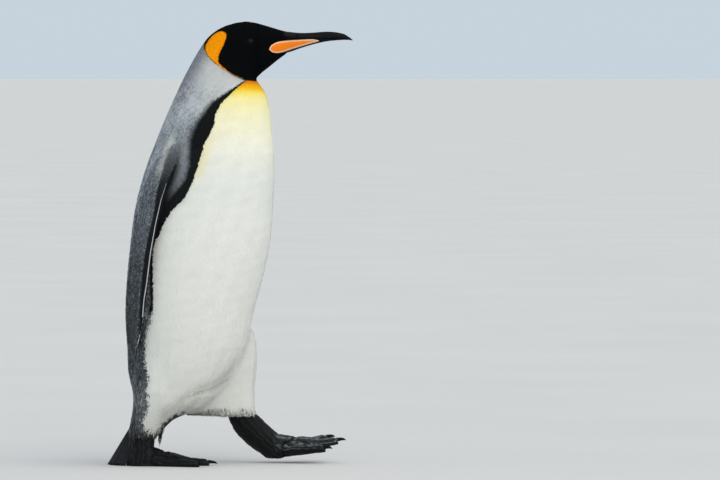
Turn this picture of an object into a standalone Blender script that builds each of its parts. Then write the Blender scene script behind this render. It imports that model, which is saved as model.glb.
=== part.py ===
"""King penguin, adult, walking: a life-size still model made of separate solids.

Metres, +Z up, beak to +X, the bird's left side to +Y, floor at z = 0.
The right foot stands flat on the floor. The left leg swings forward, its foot just clear.
Every outline here is the outer surface of the plumage.
"""
import math

import bmesh
import bpy
import numpy as np
from mathutils import Matrix, Vector

# Driving dimensions
GAP = 0.0003            # clearance between touching pieces
LEAN = 0.04             # sideways lean over the standing foot, metres per metre of height
BOX_MIDDLE = (0.0011, -0.0106)  # middle of the leaned bird's box, which the origin stands at
BODY_SIDES = 28         # points round a body section
LIMB_SIDES = 16
BILL_SIDES = 13

# Sections of head, neck and trunk, from the vent up to the feather line of the bill.
# Each is an oval standing on a slanted line in the bird's plane of symmetry:
# back point x, z; front point x, z; half width.
BODY_SECTIONS = (
    (-0.196, 0.080, -0.160, 0.080, 0.020),
    (-0.193, 0.102, -0.112, 0.092, 0.062),
    (-0.192, 0.138, -0.042, 0.125, 0.091),
    (-0.203, 0.183, 0.003, 0.183, 0.108),
    (-0.205, 0.236, 0.034, 0.239, 0.115),
    (-0.209, 0.298, 0.047, 0.300, 0.118),
    (-0.206, 0.368, 0.066, 0.370, 0.117),
    (-0.199, 0.438, 0.081, 0.440, 0.113),
    (-0.188, 0.520, 0.088, 0.518, 0.106),
    (-0.166, 0.598, 0.091, 0.594, 0.096),
    (-0.138, 0.670, 0.086, 0.662, 0.084),
    (-0.112, 0.730, 0.080, 0.714, 0.071),
    (-0.094, 0.768, 0.071, 0.747, 0.060),
    (-0.077, 0.801, 0.054, 0.770, 0.050),
    (-0.053, 0.841, 0.057, 0.776, 0.0430),
    (-0.036, 0.861, 0.061, 0.780, 0.0410),
    (-0.008, 0.878, 0.066, 0.785, 0.0385),
    (0.034, 0.887, 0.079, 0.795, 0.0355),
    (0.071, 0.879, 0.092, 0.806, 0.0295),
    (0.097, 0.871, 0.104, 0.815, 0.0222),
    (0.116, 0.8660, 0.116, 0.8240, 0.0173),
)
NECK_FROM = 9.6         # station where the trunk ends and the neck begins
HEAD_FROM = 13.0        # station at the throat notch, where the head begins
HEAD_TO = 20.0          # last station, at the root of the bill
SLIT = 0.005            # half the thin cut between two lengths of the body, in stations

# Bill: x, top z, gape z, bottom z, half width
BILL_SECTIONS = (
    (0.1163, 0.8660, 0.8525, 0.8245, 0.0168),
    (0.142, 0.8638, 0.8530, 0.8332, 0.0120),
    (0.168, 0.8645, 0.8530, 0.8410, 0.0090),
    (0.194, 0.8663, 0.8529, 0.8467, 0.0073),
    (0.214, 0.8650, 0.8525, 0.8488, 0.0060),
    (0.230, 0.8612, 0.8512, 0.8498, 0.0043),
    (0.240, 0.8550, 0.8494, 0.8494, 0.0026),
    (0.246, 0.8500, 0.8485, 0.8485, 0.0010),
)
LOWER_BILL_TO = 4.8     # station where the lower half of the bill ends, under the tip
GAPE_GAP = 0.0004

# Orange plate on each side of the lower bill: outline in the plane of symmetry
PLATE_REAR = (0.0790, 0.8312)
PLATE_TIP = (0.1815, 0.8483)
PLATE_TOP = ((0.084, 0.8392), (0.098, 0.8468), (0.119, 0.8506), (0.146, 0.8516), (0.166, 0.8512))
PLATE_BOTTOM = ((0.168, 0.8434), (0.150, 0.8374), (0.136, 0.8325), (0.121, 0.8276), (0.110, 0.8248),
                (0.098, 0.8231), (0.086, 0.8244))
PLATE_INNER_Y = 0.0045
PLATE_PROUD = 0.0005

EYE_CENTRE = (0.0425, 0.0280, 0.8460)
EYE_RADIUS = 0.0085

# Flipper stations from the shoulder down: z, leading x, trailing x, thickness, stand-off in front
# and stand-off behind from the flank
FLIPPER_SECTIONS = (
    (0.670, -0.092, -0.112, 0.012, -0.016, -0.016),
    (0.643, -0.093, -0.134, 0.020, -0.006, -0.010),
    (0.610, -0.099, -0.150, 0.022, 0.003, -0.002),
    (0.573, -0.117, -0.165, 0.020, 0.013, 0.007),
    (0.528, -0.131, -0.178, 0.017, 0.018, 0.013),
    (0.473, -0.143, -0.189, 0.015, 0.021, 0.018),
    (0.418, -0.153, -0.197, 0.013, 0.022, 0.021),
    (0.363, -0.161, -0.202, 0.011, 0.022, 0.023),
    (0.308, -0.168, -0.205, 0.009, 0.022, 0.025),
    (0.266, -0.175, -0.204, 0.007, 0.022, 0.026),
    (0.242, -0.180, -0.199, 0.0055, 0.022, 0.026),
    (0.232, -0.185, -0.192, 0.0035, 0.023, 0.026),
)

# Feathered legs, as level ovals: z, back x, front x, centre y, half width
RIGHT_LEG = (
    (0.0600, -0.2010, -0.1425, -0.034, 0.0235),
    (0.0700, -0.2020, -0.1350, -0.036, 0.0280),
    (0.0910, -0.1975, -0.1140, -0.042, 0.0350),
    (0.1150, -0.1930, -0.0960, -0.048, 0.0420),
    (0.1500, -0.1900, -0.0850, -0.053, 0.0480),
    (0.2000, -0.1850, -0.0650, -0.055, 0.0480),
)
LEFT_LEG = (
    (0.0965, -0.0250, 0.0480, 0.060, 0.0290),
    (0.0990, -0.0800, 0.0520, 0.059, 0.0400),
    (0.1035, -0.1080, 0.0510, 0.058, 0.0460),
    (0.1300, -0.1190, 0.0490, 0.056, 0.0505),
    (0.1680, -0.1060, 0.0510, 0.054, 0.0540),
    (0.2030, -0.0980, 0.0545, 0.051, 0.0550),
    (0.2380, -0.0860, 0.0540, 0.048, 0.0520),
    (0.2660, -0.0700, 0.0470, 0.045, 0.0440),
    (0.2930, -0.0500, 0.0300, 0.040, 0.0300),
)

LEG_SECTIONS = {"left": LEFT_LEG, "right": RIGHT_LEG}

# Bare lower legs: centre x, y, z of each section, half length, half width, slant of the section
RIGHT_SHANK = (
    (-0.1740, -0.034, 0.0640, 0.0245, 0.0195, 0.0),
    (-0.1750, -0.034, 0.0480, 0.0260, 0.0190, 0.0),
    (-0.1770, -0.034, 0.0300, 0.0275, 0.0200, 0.0),
    (-0.1780, -0.034, 0.0120, 0.0280, 0.0210, 0.0),
    (-0.1780, -0.034, -0.0020, 0.0270, 0.0205, 0.0),
)
LEFT_SHANK = (
    (0.0165, 0.060, 0.1050, 0.0262, 0.0195, 0.10),
    (0.0330, 0.060, 0.0795, 0.0305, 0.0195, 0.45),
    (0.0525, 0.061, 0.0590, 0.0295, 0.0200, 0.75),
    (0.0730, 0.062, 0.0430, 0.0280, 0.0215, 0.95),
    (0.0900, 0.062, 0.0350, 0.0240, 0.0200, 1.10),
)

SHANK_SECTIONS = {"left": LEFT_SHANK, "right": RIGHT_SHANK}

# Forefoot in its own frame: heel pad at the origin, middle toe along +X, outer toe to +Y
TOES = (                # name, angle outwards, length to the claw, root radius, tip radius
    ("inner", -23.0, 0.091, 0.0118, 0.0078),
    ("middle", -1.0, 0.112, 0.0128, 0.0084),
    ("outer", 20.0, 0.098, 0.0122, 0.0078),
)
TOE_PARTS = (-0.12, 0.04, 0.20, 0.36, 0.53, 0.72, 0.93, 1.0)    # where its sections lie
TOE_BLUNT = 0.74        # width of a toe's end over its width just behind
TOE_SPREAD = 0.0120     # sideways step between the roots of the toes
TOE_HEIGHT = 0.90       # height of a toe over its width
INSTEP = (              # heel and top of the foot behind the toes: x, half width, underside, height
    (-0.046, 0.0110, 0.0130, 0.0180),
    (-0.036, 0.0160, 0.0040, 0.0330),
    (-0.015, 0.0182, -0.0012, 0.0398),
    (0.000, 0.0215, -0.0012, 0.0370),
    (0.022, 0.0240, -0.0012, 0.0295),
    (0.044, 0.0240, -0.0012, 0.0240),
    (0.064, 0.0180, -0.0012, 0.0185),
    (0.080, 0.0110, -0.0012, 0.0140),
)
REAR_ROWS = 2           # instep rows that make the heel of the lifted foot
HEEL_ROWS = {"left": REAR_ROWS, "right": 0}
WEB_THICKNESS = 0.0035
WEB_HEIGHT = 0.0030     # underside of the web above the sole
WEB_REACH = 0.72        # how far along the toes the web's edge lies
CLAW_LENGTH = 0.016
CLAW_RADIUS = 0.0027
CLAW_HEIGHT = 0.0078    # middle of the claw's root above the sole
CLAW_DROP = 0.0040      # how far its tip bends down from there
SOLE_PRESS = 0.0015     # how deep the rounded toes reach below the sole before it is trimmed flat
RIGHT_FOOT_AT = (-0.152, -0.034, 0.0)
LEFT_FOOT_AT = (0.108, 0.062, 0.0150)
LEFT_FOOT_PITCH = 12.0  # toes up, degrees
LEFT_FOOT_ROLL = 9.0    # outer side up, degrees
LEFT_FOOT_ARCH = 1.18   # the lifted foot's height over the planted one's

# Tail: a roof-shaped fan of stiff feathers, from the rump to the floor
TAIL_ROOT = (-0.179, 0.0, 0.106)
TAIL_TIP = (-0.242, 0.0, -0.001)
TAIL_SIDE_ROOT = (-0.181, 0.024, 0.098)
TAIL_SIDE_TIP = (-0.207, 0.045, -0.001)
TAIL_THICKNESS = 0.006
TAIL_FEATHERS = 8

COLOURS = {             # base colour, roughness
    "dark plumage": ((0.07, 0.08, 0.09), 0.75),
    "grey plumage": ((0.30, 0.33, 0.36), 0.75),
    "white plumage": ((0.75, 0.75, 0.72), 0.80),
    "black plumage": ((0.010, 0.011, 0.012), 0.70),
    "orange plate": ((0.85, 0.26, 0.03), 0.45),
    "horn": ((0.015, 0.015, 0.017), 0.40),
    "black skin": ((0.020, 0.021, 0.023), 0.60),
    "eye": ((0.020, 0.012, 0.008), 0.08),
}


def clear_scene():
    """Remove every object left in the scene."""
    for old in list(bpy.data.objects):
        bpy.data.objects.remove(old, do_unlink=True)


def collection(name):
    """A collection in the scene."""
    made = bpy.data.collections.new(name)
    bpy.context.scene.collection.children.link(made)
    return made


def material(name):
    """The Principled material of one kind of surface."""
    found = bpy.data.materials.get(name)
    if found:
        return found
    colour, roughness = COLOURS[name]
    made = bpy.data.materials.new(name)
    made.use_nodes = True
    shader = made.node_tree.nodes["Principled BSDF"]
    shader.inputs["Base Color"].default_value = (*colour, 1.0)
    shader.inputs["Roughness"].default_value = roughness
    shader.inputs["Metallic"].default_value = 0.0
    return made


def between(rows, station):
    """Smooth values at a fractional station: a Catmull-Rom curve through the rows."""
    last = len(rows) - 1
    first = min(int(station), last - 1)
    part = station - first
    p0, p1, p2, p3 = (np.array(rows[min(max(i, 0), last)]) for i in range(first - 1, first + 3))
    if first == 0:
        p0 = 2 * p1 - p2
    if first == last - 1:
        p3 = 2 * p2 - p1
    return 0.5 * (2 * p1 + (p2 - p0) * part + (2 * p0 - 5 * p1 + 4 * p2 - p3) * part ** 2
                  + (3 * p1 - p0 - 3 * p2 + p3) * part ** 3)


def leaned(point):
    """A point moved sideways by the bird's lean, and over the origin."""
    x, y, z = point
    return Vector((x - BOX_MIDDLE[0], y - LEAN * z - BOX_MIDDLE[1], z))


def loft(name, rings, kind, target, bent=False):
    """A closed solid through rings of points; bent ends are closed by strips, others by one face."""
    mesh = bpy.data.meshes.new(name)
    form = bmesh.new()
    rows = [[form.verts.new(leaned(point)) for point in ring] for ring in rings]
    count = len(rows[0])
    for low, high in zip(rows, rows[1:]):
        for i in range(count):
            j = (i + 1) % count
            form.faces.new((low[i], low[j], high[j], high[i]))
    for row in (rows[0][::-1], rows[-1]):
        if bent:
            for i in range(count // 2 - 1):
                form.faces.new((row[i], row[i + 1], row[count - 2 - i], row[count - 1 - i]))
        else:
            form.faces.new(row)
    bmesh.ops.recalc_face_normals(form, faces=form.faces)
    form.to_mesh(mesh)
    form.free()
    mesh.materials.append(material(kind))
    made = bpy.data.objects.new(name, mesh)
    target.objects.link(made)
    return made


def body_ring(station, grow=0.0):
    """The oval section of the body at a station."""
    back_x, back_z, front_x, front_z, half = between(BODY_SECTIONS, station)
    middle = Vector(((back_x + front_x) / 2, 0.0, (back_z + front_z) / 2))
    reach = Vector((back_x - front_x, 0.0, back_z - front_z)) / 2
    reach *= 1 + grow / reach.length
    ring = []
    for i in range(BODY_SIDES):
        angle = math.tau * i / BODY_SIDES
        side = Vector((0.0, (half + grow) * math.sin(angle), 0.0))
        ring.append(middle + reach * math.cos(angle) + side)
    return ring


def body_rings(stations, grow=0.0):
    """Body sections at the given stations."""
    return [body_ring(station, grow) for station in stations]


def flank(x, z):
    """Half width of the trunk at a place seen from the side."""
    low, high = 1.0, 12.0
    for _ in range(30):
        station = (low + high) / 2
        back_x, back_z, front_x, front_z, half = between(BODY_SECTIONS, station)
        level = back_z + (front_z - back_z) * (x - back_x) / (front_x - back_x)
        if level < z:
            low = station
        else:
            high = station
    along = 2 * (x - back_x) / (front_x - back_x) - 1
    return half * math.sqrt(max(0.0, 1 - along ** 2))


def cut(piece, cutter):
    """Take the cutter's space out of a piece, at once."""
    change = piece.modifiers.new("cut", "BOOLEAN")
    change.operation = "DIFFERENCE"
    change.object = cutter
    settle(piece)


def settle(piece):
    """Keep a piece's evaluated mesh as its own and drop the modifiers."""
    graph = bpy.context.evaluated_depsgraph_get()
    mesh = bpy.data.meshes.new_from_object(piece.evaluated_get(graph))
    piece.modifiers.clear()
    piece.data = mesh


def unite(piece, others):
    """Join overlapping solids into one body."""
    for other in others:
        change = piece.modifiers.new("unite", "BOOLEAN")
        change.operation = "UNION"
        change.object = other
        settle(piece)
        bpy.data.objects.remove(other, do_unlink=True)


def as_cutter(piece):
    """Mark a guide solid that only cuts others."""
    piece.hide_render = True
    piece.display_type = "WIRE"
    return piece


def make_body(parts, cutters):
    """Trunk, neck and head, parted by thin cuts, and a slightly larger trunk to cut by."""
    low = np.linspace(0.0, NECK_FROM - SLIT, 23)
    middle = np.linspace(NECK_FROM + SLIT, HEAD_FROM - SLIT, 8)
    high = np.linspace(HEAD_FROM + SLIT, HEAD_TO, 15)
    loft("trunk", body_rings(low), "white plumage", parts)
    loft("neck", body_rings(middle), "grey plumage", parts)
    head = loft("head", body_rings(high), "black plumage", parts)
    rings = body_rings([*low, *middle], 2 * GAP)
    rings.insert(0, [point - Vector((0.0, 0.0, 2 * GAP)) for point in rings[0]])
    return head, as_cutter(loft("trunk_room", rings, "white plumage", cutters))


def half_ring(x, flat_z, far_z, half):
    """A section of one half of the bill: flat along the gape and round beyond it."""
    ring = []
    for i in range(BILL_SIDES):
        angle = math.pi * (i / (BILL_SIDES - 1))
        wide = math.copysign(abs(math.cos(angle)) ** 0.8, math.cos(angle))
        ring.append(Vector((x, half * wide, flat_z + (far_z - flat_z) * math.sin(angle) ** 0.9)))
    return ring


def make_bill(parts):
    """Upper and lower halves of the bill, which meet along the gape."""
    upper, lower = [], []
    for station in np.linspace(0.0, len(BILL_SECTIONS) - 1, 15):
        x, top, gape, _, half = between(BILL_SECTIONS, station)
        upper.append(half_ring(x, gape + GAPE_GAP / 2, max(top, gape + 0.001), half))
    for station in np.linspace(0.0, LOWER_BILL_TO, 10):
        x, _, gape, bottom, half = between(BILL_SECTIONS, station)
        thin = 0.92 - 0.3 * (station / LOWER_BILL_TO) ** 3
        lower.append(half_ring(x, gape - GAPE_GAP / 2, min(bottom, gape - 0.001), half * thin))
    loft("bill_upper", upper, "horn", parts)
    return loft("bill_lower", lower, "horn", parts)


def plate_outline(grow=0.0):
    """The plate's outline, grown outwards from its middle."""
    points = [PLATE_REAR, *PLATE_TOP, PLATE_TIP, *PLATE_BOTTOM]
    middle = np.mean(points, axis=0)
    spread = []
    for point in points:
        away = np.array(point) - middle
        spread.append(middle + away * (1 + grow / np.linalg.norm(away)))
    return spread


def plate_block(name, side, outer, grow, target):
    """A block through one side of the face with the plate's outline."""
    near, far = PLATE_INNER_Y - grow, outer
    rings = [[Vector((x, side * y, z)) for x, z in plate_outline(grow)] for y in (near, far)]
    return loft(name, rings, "orange plate", target)


def make_plates(parts, cutters, head, bill_lower):
    """Orange plates let into the sides of the face and the lower bill."""
    face = loft("plate_face", face_rings(PLATE_PROUD), "orange plate", cutters)
    for name, side in (("left", 1), ("right", -1)):
        plate = plate_block("bill_plate_" + name, side, 0.045, 0.0, parts)
        change = plate.modifiers.new("trim", "BOOLEAN")
        change.operation = "INTERSECT"
        change.object = face
        settle(plate)
        room = as_cutter(plate_block("plate_room_" + name, side, 0.050, GAP, cutters))
        cut(head, room)
        cut(bill_lower, room)
    bpy.data.objects.remove(face, do_unlink=True)


def face_rings(grow):
    """Sections of the whole lower face and bill, a little larger, that shape the plates."""
    rings = [body_ring(station, grow) for station in np.linspace(17.4, HEAD_TO, 9)]
    for station in np.linspace(0.15, 3.5, 9):
        x, top, gape, bottom, half = between(BILL_SECTIONS, station)
        wide = half * 0.92 + grow
        ring = []
        for i in range(BODY_SIDES):
            angle = math.tau * i / BODY_SIDES
            reach = top - gape if math.cos(angle) > 0 else gape - bottom
            level = gape + (reach + grow) * math.cos(angle)
            ring.append(Vector((x, wide * math.sin(angle), level)))
        rings.append(ring)
    return rings


def ball(name, centre, radius, kind, target):
    """A round solid."""
    form = bmesh.new()
    bmesh.ops.create_uvsphere(form, u_segments=14, v_segments=9, radius=radius)
    for vertex in form.verts:
        vertex.co = leaned(vertex.co + Vector(centre))
    mesh = bpy.data.meshes.new(name)
    form.to_mesh(mesh)
    form.free()
    mesh.materials.append(material(kind))
    made = bpy.data.objects.new(name, mesh)
    target.objects.link(made)
    return made


def make_eyes(parts, cutters, head):
    """Eyes set in round sockets in the head."""
    x, y, z = EYE_CENTRE
    for name, side in (("left", 1), ("right", -1)):
        ball("eye_" + name, (x, side * y, z), EYE_RADIUS, "eye", parts)
        socket = ball("socket_" + name, (x, side * y, z), EYE_RADIUS + GAP, "eye", cutters)
        cut(head, as_cutter(socket))


def flipper_ring(row, side):
    """A flipper section: blunt in front, thin behind, laid along the flank."""
    z, lead_x, trail_x, thick, front_off, back_off = row
    lead = Vector((lead_x, side * (flank(lead_x, z) + front_off), z))
    trail = Vector((trail_x, side * (flank(trail_x, z) + back_off), z))
    chord = trail - lead
    across = chord.cross(Vector((0.0, 0.0, 1.0))).normalized()
    ring = []
    for i in range(LIMB_SIDES):
        angle = math.tau * i / LIMB_SIDES
        along = 0.5 - 0.5 * math.cos(angle)
        fall = (1 - along) ** 0.7 + 0.16 * along
        ring.append(lead + chord * along + across * (thick / 2 * math.sin(angle) * 1.25 * fall))
    return ring


def make_flippers(parts, room):
    """Flippers hanging along the flanks, trimmed where they enter the shoulders."""
    stations = np.linspace(0.0, len(FLIPPER_SECTIONS) - 1, 17)
    for name, side in (("left", 1), ("right", -1)):
        rings = [flipper_ring(between(FLIPPER_SECTIONS, station), side) for station in stations]
        cut(loft("flipper_" + name, rings, "dark plumage", parts), room)


def level_ring(row, grow=0.0):
    """A level oval section of a feathered leg."""
    z, back, front, y, half = row
    ring = []
    for i in range(LIMB_SIDES):
        angle = math.tau * i / LIMB_SIDES
        x = (back + front) / 2 + (front - back + 2 * grow) / 2 * math.cos(angle)
        ring.append(Vector((x, y + (half + grow) * math.sin(angle), z)))
    return ring


def leg_rings(name, grow=0.0):
    """Sections of a feathered leg, from the ankle up."""
    rows = LEG_SECTIONS[name]
    stations = np.linspace(0.0, len(rows) - 1, len(rows) + 4)
    rings = [level_ring(between(rows, station), grow) for station in stations]
    if grow:
        rings.insert(0, [point - Vector((0.0, 0.0, grow)) for point in rings[0]])
    return rings


def make_legs(parts, cutters, room):
    """The feathered legs, trimmed where they enter the trunk, and rooms to cut the shanks by."""
    rooms = {}
    for name in ("left", "right"):
        cut(loft("leg_" + name, leg_rings(name), "white plumage", parts), room)
        rooms[name] = as_cutter(loft("leg_room_" + name, leg_rings(name, GAP), "white plumage", cutters))
    return rooms


def slant_ring(row, grow=0.0):
    """An oval section of a bare lower leg, tipped forward by its slant."""
    x, y, z, long, half, slant = row
    along = Vector((math.cos(slant), 0.0, math.sin(slant)))
    ring = []
    for i in range(LIMB_SIDES):
        angle = math.tau * i / LIMB_SIDES
        side = Vector((0.0, (half + grow) * math.sin(angle), 0.0))
        ring.append(Vector((x, y, z)) + along * ((long + grow) * math.cos(angle)) + side)
    return ring


def shank(name, rows, grow, target):
    """A bare lower leg."""
    stations = np.linspace(0.0, len(rows) - 1, 2 * len(rows) - 1)
    return loft(name, [slant_ring(between(rows, s), grow) for s in stations], "black skin", target)


def toe_ring(start, aim, distance, width, sides):
    """A section of a toe, standing on the sole."""
    middle = start + aim * distance + Vector((0.0, 0.0, width * TOE_HEIGHT - SOLE_PRESS))
    across = Vector((-aim.y, aim.x, 0.0))
    ring = []
    for i in range(sides):
        angle = math.tau * i / sides
        rise = Vector((0.0, 0.0, width * TOE_HEIGHT * math.sin(angle)))
        ring.append(middle + across * (width * math.cos(angle)) + rise)
    return ring


def toe_shape(angle, place):
    """Where a toe starts and which way it points, in the foot's own frame."""
    turn = math.radians(angle)
    return Vector((0.0, place * TOE_SPREAD, 0.0)), Vector((math.cos(turn), math.sin(turn), 0.0))


def toe_rings(toe, place):
    """A toe with a swelling at each joint."""
    _, angle, length, root, tip = toe
    start, aim = toe_shape(angle, place)
    rings = []
    for part in TOE_PARTS:
        width = root + (tip - root) * max(part, 0.0) + 0.0007 * math.cos(part * 3 * math.tau)
        if part == TOE_PARTS[-1]:
            width = tip * TOE_BLUNT
        rings.append(toe_ring(start, aim, part * length, width, 10))
    return rings


def web_rings():
    """The web: a thin fan between the toes with a hollow edge."""
    ends = []
    for place, toe in zip((-1, 0, 1), TOES):
        start, aim = toe_shape(toe[1], place)
        ends.append((start, start + aim * toe[2] * WEB_REACH))
    edge = []
    for first, second in zip(ends, ends[1:]):
        for part in np.linspace(0.0, 1.0, 5)[:-1]:
            sag = 1 - 0.22 * math.sin(math.pi * part)
            root = first[0].lerp(second[0], part)
            edge.append(root.lerp(first[1].lerp(second[1], part), sag))
    edge += [ends[2][1], ends[2][0], ends[0][0]]
    return [[point + Vector((0.0, 0.0, height)) for point in edge]
            for height in (WEB_HEIGHT, WEB_HEIGHT + WEB_THICKNESS)]


def instep_rings(name):
    """The back of the foot between shank and toes, arched over the sole."""
    rings = []
    for x, half, under, height in INSTEP[REAR_ROWS - HEEL_ROWS[name]:]:
        ring = [Vector((x, half, under)), Vector((x, -half, under))]
        for i in range(9):
            angle = math.pi * (i / 8)
            rise = (height - under) * math.sin(angle) ** 0.8
            ring.append(Vector((x, -half * math.cos(angle), under + 0.002 + rise)))
        rings.append(ring)
    return rings


def claw_rings(toe, place):
    """A claw: a curved cone from the end of its toe down towards the ground."""
    _, angle, length, _, _ = toe
    start, aim = toe_shape(angle, place)
    across = Vector((-aim.y, aim.x, 0.0))
    rings = []
    for part in np.linspace(0.0, 1.0, 5):
        radius = CLAW_RADIUS * (1 - 0.86 * part ** 1.3)
        middle = start + aim * (length + GAP + CLAW_LENGTH * math.sin(part * 1.35))
        middle.z = CLAW_HEIGHT - CLAW_DROP * part ** 2
        ring = []
        for i in range(8):
            turn = math.tau * i / 8
            rise = Vector((0.0, 0.0, radius * 1.15 * math.sin(turn)))
            ring.append(middle + across * (radius * 0.8 * math.cos(turn)) + rise)
        rings.append(ring)
    return rings


def placed(rings, place):
    """Rings moved from the foot's own frame to the bird's."""
    return [[place @ point for point in ring] for ring in rings]


def make_foot(name, place, parts):
    """Toes and web in one piece, and a claw on each toe."""
    foot = loft("foot_" + name, placed(web_rings(), place), "black skin", parts)
    toes = [loft("instep", placed(instep_rings(name), place), "black skin", parts)]
    for order, toe in zip((-1, 0, 1), TOES):
        rings = placed(toe_rings(toe, order), place)
        toes.append(loft("toe_" + toe[0], rings, "black skin", parts))
        claw = placed(claw_rings(toe, order), place)
        loft("claw_" + name + "_" + toe[0], claw, "horn", parts)
    unite(foot, toes)
    return foot


def slab(name, low, high, target):
    """A rectangular cutter between two corners."""
    form = bmesh.new()
    bmesh.ops.create_cube(form, size=1.0)
    size = Vector(high) - Vector(low)
    for vertex in form.verts:
        vertex.co = Vector(low) + Vector((vertex.co[i] + 0.5) * size[i] for i in range(3))
    mesh = bpy.data.meshes.new(name)
    form.to_mesh(mesh)
    form.free()
    made = bpy.data.objects.new(name, mesh)
    target.objects.link(made)
    return as_cutter(made)


def make_feet(parts, cutters, leg_rooms, floor):
    """Both feet with their lower legs, trimmed by the floor and by the feathered legs.

    Returns the rooms of the lower legs, to trim other pieces by.
    """
    rooms = {}
    right = Matrix.Translation(RIGHT_FOOT_AT) @ Matrix.Diagonal((1.0, -1.0, 1.0, 1.0))
    pitch = Matrix.Rotation(-math.radians(LEFT_FOOT_PITCH), 4, "Y")
    roll = Matrix.Rotation(math.radians(LEFT_FOOT_ROLL), 4, "X")
    arch = Matrix.Diagonal((1.0, 1.0, LEFT_FOOT_ARCH, 1.0))
    left = Matrix.Translation(LEFT_FOOT_AT) @ pitch @ roll @ arch
    for name, place in (("right", right), ("left", left)):
        foot = make_foot(name, place, parts)
        rows = SHANK_SECTIONS[name]
        tarsus = shank("tarsus_" + name, rows, 0.0, parts)
        rooms[name] = as_cutter(shank("tarsus_room_" + name, rows, GAP, cutters))
        cut(foot, rooms[name])
        cut(tarsus, leg_rooms[name])
        cut(foot, floor)
        cut(tarsus, floor)
    return rooms


def tail_point(across, down, lift):
    """A point on the roof-shaped tail: across -1 to 1, down 0 to 1, lift towards the back."""
    centre = Vector(TAIL_ROOT).lerp(Vector(TAIL_TIP), down)
    edge = Vector(TAIL_SIDE_ROOT).lerp(Vector(TAIL_SIDE_TIP), down)
    x = centre.x + (edge.x - centre.x) * across ** 2 - lift
    z = centre.z + (edge.z - centre.z) * across ** 2
    return Vector((x, edge.y * across, z))


def make_tail(parts, rooms):
    """The tail: overlapping stiff feathers as one ribbed fan, trimmed by what it meets."""
    rings = []
    columns = 2 * TAIL_FEATHERS
    for down in np.linspace(0.0, 1.02, 5):
        thick = TAIL_THICKNESS * (1 - 0.45 * down)
        outer, inner = [], []
        for i in range(columns + 1):
            across = -1 + 2 * i / columns
            rib = 0.0008 * math.cos(math.pi * i)
            outer.append(tail_point(across, down, thick / 2 + rib))
            inner.append(tail_point(across, down, -thick / 2))
        rings.append(outer + inner[::-1])
    tail = loft("tail", rings, "dark plumage", parts, bent=True)
    for room in rooms:
        cut(tail, room)


def shade(parts):
    """Smooth shading with sharp real edges."""
    for piece in parts.objects:
        piece.data.shade_smooth()
        piece.data.set_sharp_from_angle(angle=math.radians(35))


def main():
    """Build the whole bird."""
    clear_scene()
    parts = collection("king_penguin")
    cutters = collection("cutters")
    floor = slab("floor_room", (-0.6, -0.4, -0.2), (0.6, 0.4, 0.0), cutters)
    head, room = make_body(parts, cutters)
    lower = make_bill(parts)
    make_plates(parts, cutters, head, lower)
    make_eyes(parts, cutters, head)
    make_flippers(parts, room)
    leg_rooms = make_legs(parts, cutters, room)
    shank_rooms = make_feet(parts, cutters, leg_rooms, floor)
    make_tail(parts, [room, leg_rooms["right"], shank_rooms["right"], floor])
    shade(parts)


main()
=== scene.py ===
import math
from functools import cache

import bmesh
import bpy
import numpy as np
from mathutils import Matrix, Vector
from mathutils.bvhtree import BVHTree
from mathutils.kdtree import KDTree


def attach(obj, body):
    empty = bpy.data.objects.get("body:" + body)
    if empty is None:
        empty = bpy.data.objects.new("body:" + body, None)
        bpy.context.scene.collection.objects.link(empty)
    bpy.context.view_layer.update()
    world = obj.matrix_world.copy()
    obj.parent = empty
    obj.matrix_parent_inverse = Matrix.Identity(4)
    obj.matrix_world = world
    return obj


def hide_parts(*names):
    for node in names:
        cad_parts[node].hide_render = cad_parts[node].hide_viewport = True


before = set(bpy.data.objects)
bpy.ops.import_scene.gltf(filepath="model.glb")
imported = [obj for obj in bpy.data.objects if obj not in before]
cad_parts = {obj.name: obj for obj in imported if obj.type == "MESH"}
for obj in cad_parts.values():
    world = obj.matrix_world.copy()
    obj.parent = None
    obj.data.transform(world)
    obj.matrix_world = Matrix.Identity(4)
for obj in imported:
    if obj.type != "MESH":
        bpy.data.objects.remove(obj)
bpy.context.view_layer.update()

SEED = 11


def scaled(parts, *rows):
    """Rows of whole numbers as fractions: thousandths (1000) or ten-thousandths (10000)."""
    return tuple(tuple(value / parts for value in row) for row in rows)


# The bird leans sideways over its standing foot; its plane of symmetry passes here
LEAN = 0.04
MIDDLE_X, MIDDLE_Y = 0.0011, -0.0106

# Skin
SKIN_VOXEL, FOOT_VOXEL = 0.0022, 0.0011
SKIN_GROWTH = 0.0006    # closes the thin cuts between the solids
SMOOTH_ROUNDS, SMOOTH_PUSHES = 45, (0.55, -0.565)
FOOT_ROUNDS, FOOT_SMOOTHING = 7, 0.7
HOLLOW_ROUNDS = 420
HOLLOW_TOP = 0.33       # height up to which hollows are filled
NORMALS_EVERY = 20      # rounds of filling between fresh normals
BORDER_ROUNDS = 60      # blur of depth and spacing where one kind of plumage meets the next
EVEN_ROUNDS = 100       # blur of the normals of silky plumage
EVEN_HEIGHTS = (0.20, 0.30)     # from none of that blur to all of it
BODY_NODES = ("trunk", "neck", "head", "leg_left", "leg_right", "flipper_left", "flipper_right")
FOOT_NODES = ("tarsus_left", "tarsus_right", "foot_left", "foot_right")
COAT_DEPTH = {"trunk": 0.0024, "neck": 0.0016, "head": 0.0009, "leg": 0.0022, "flipper": 0.0009}
SILK_DEPTH = 0.50       # share of that depth where the plumage lies smooth
SMOOTHING = {"trunk": 1.0, "neck": 1.0, "head": 0.9, "leg": 0.6, "flipper": 0.12}

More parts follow.
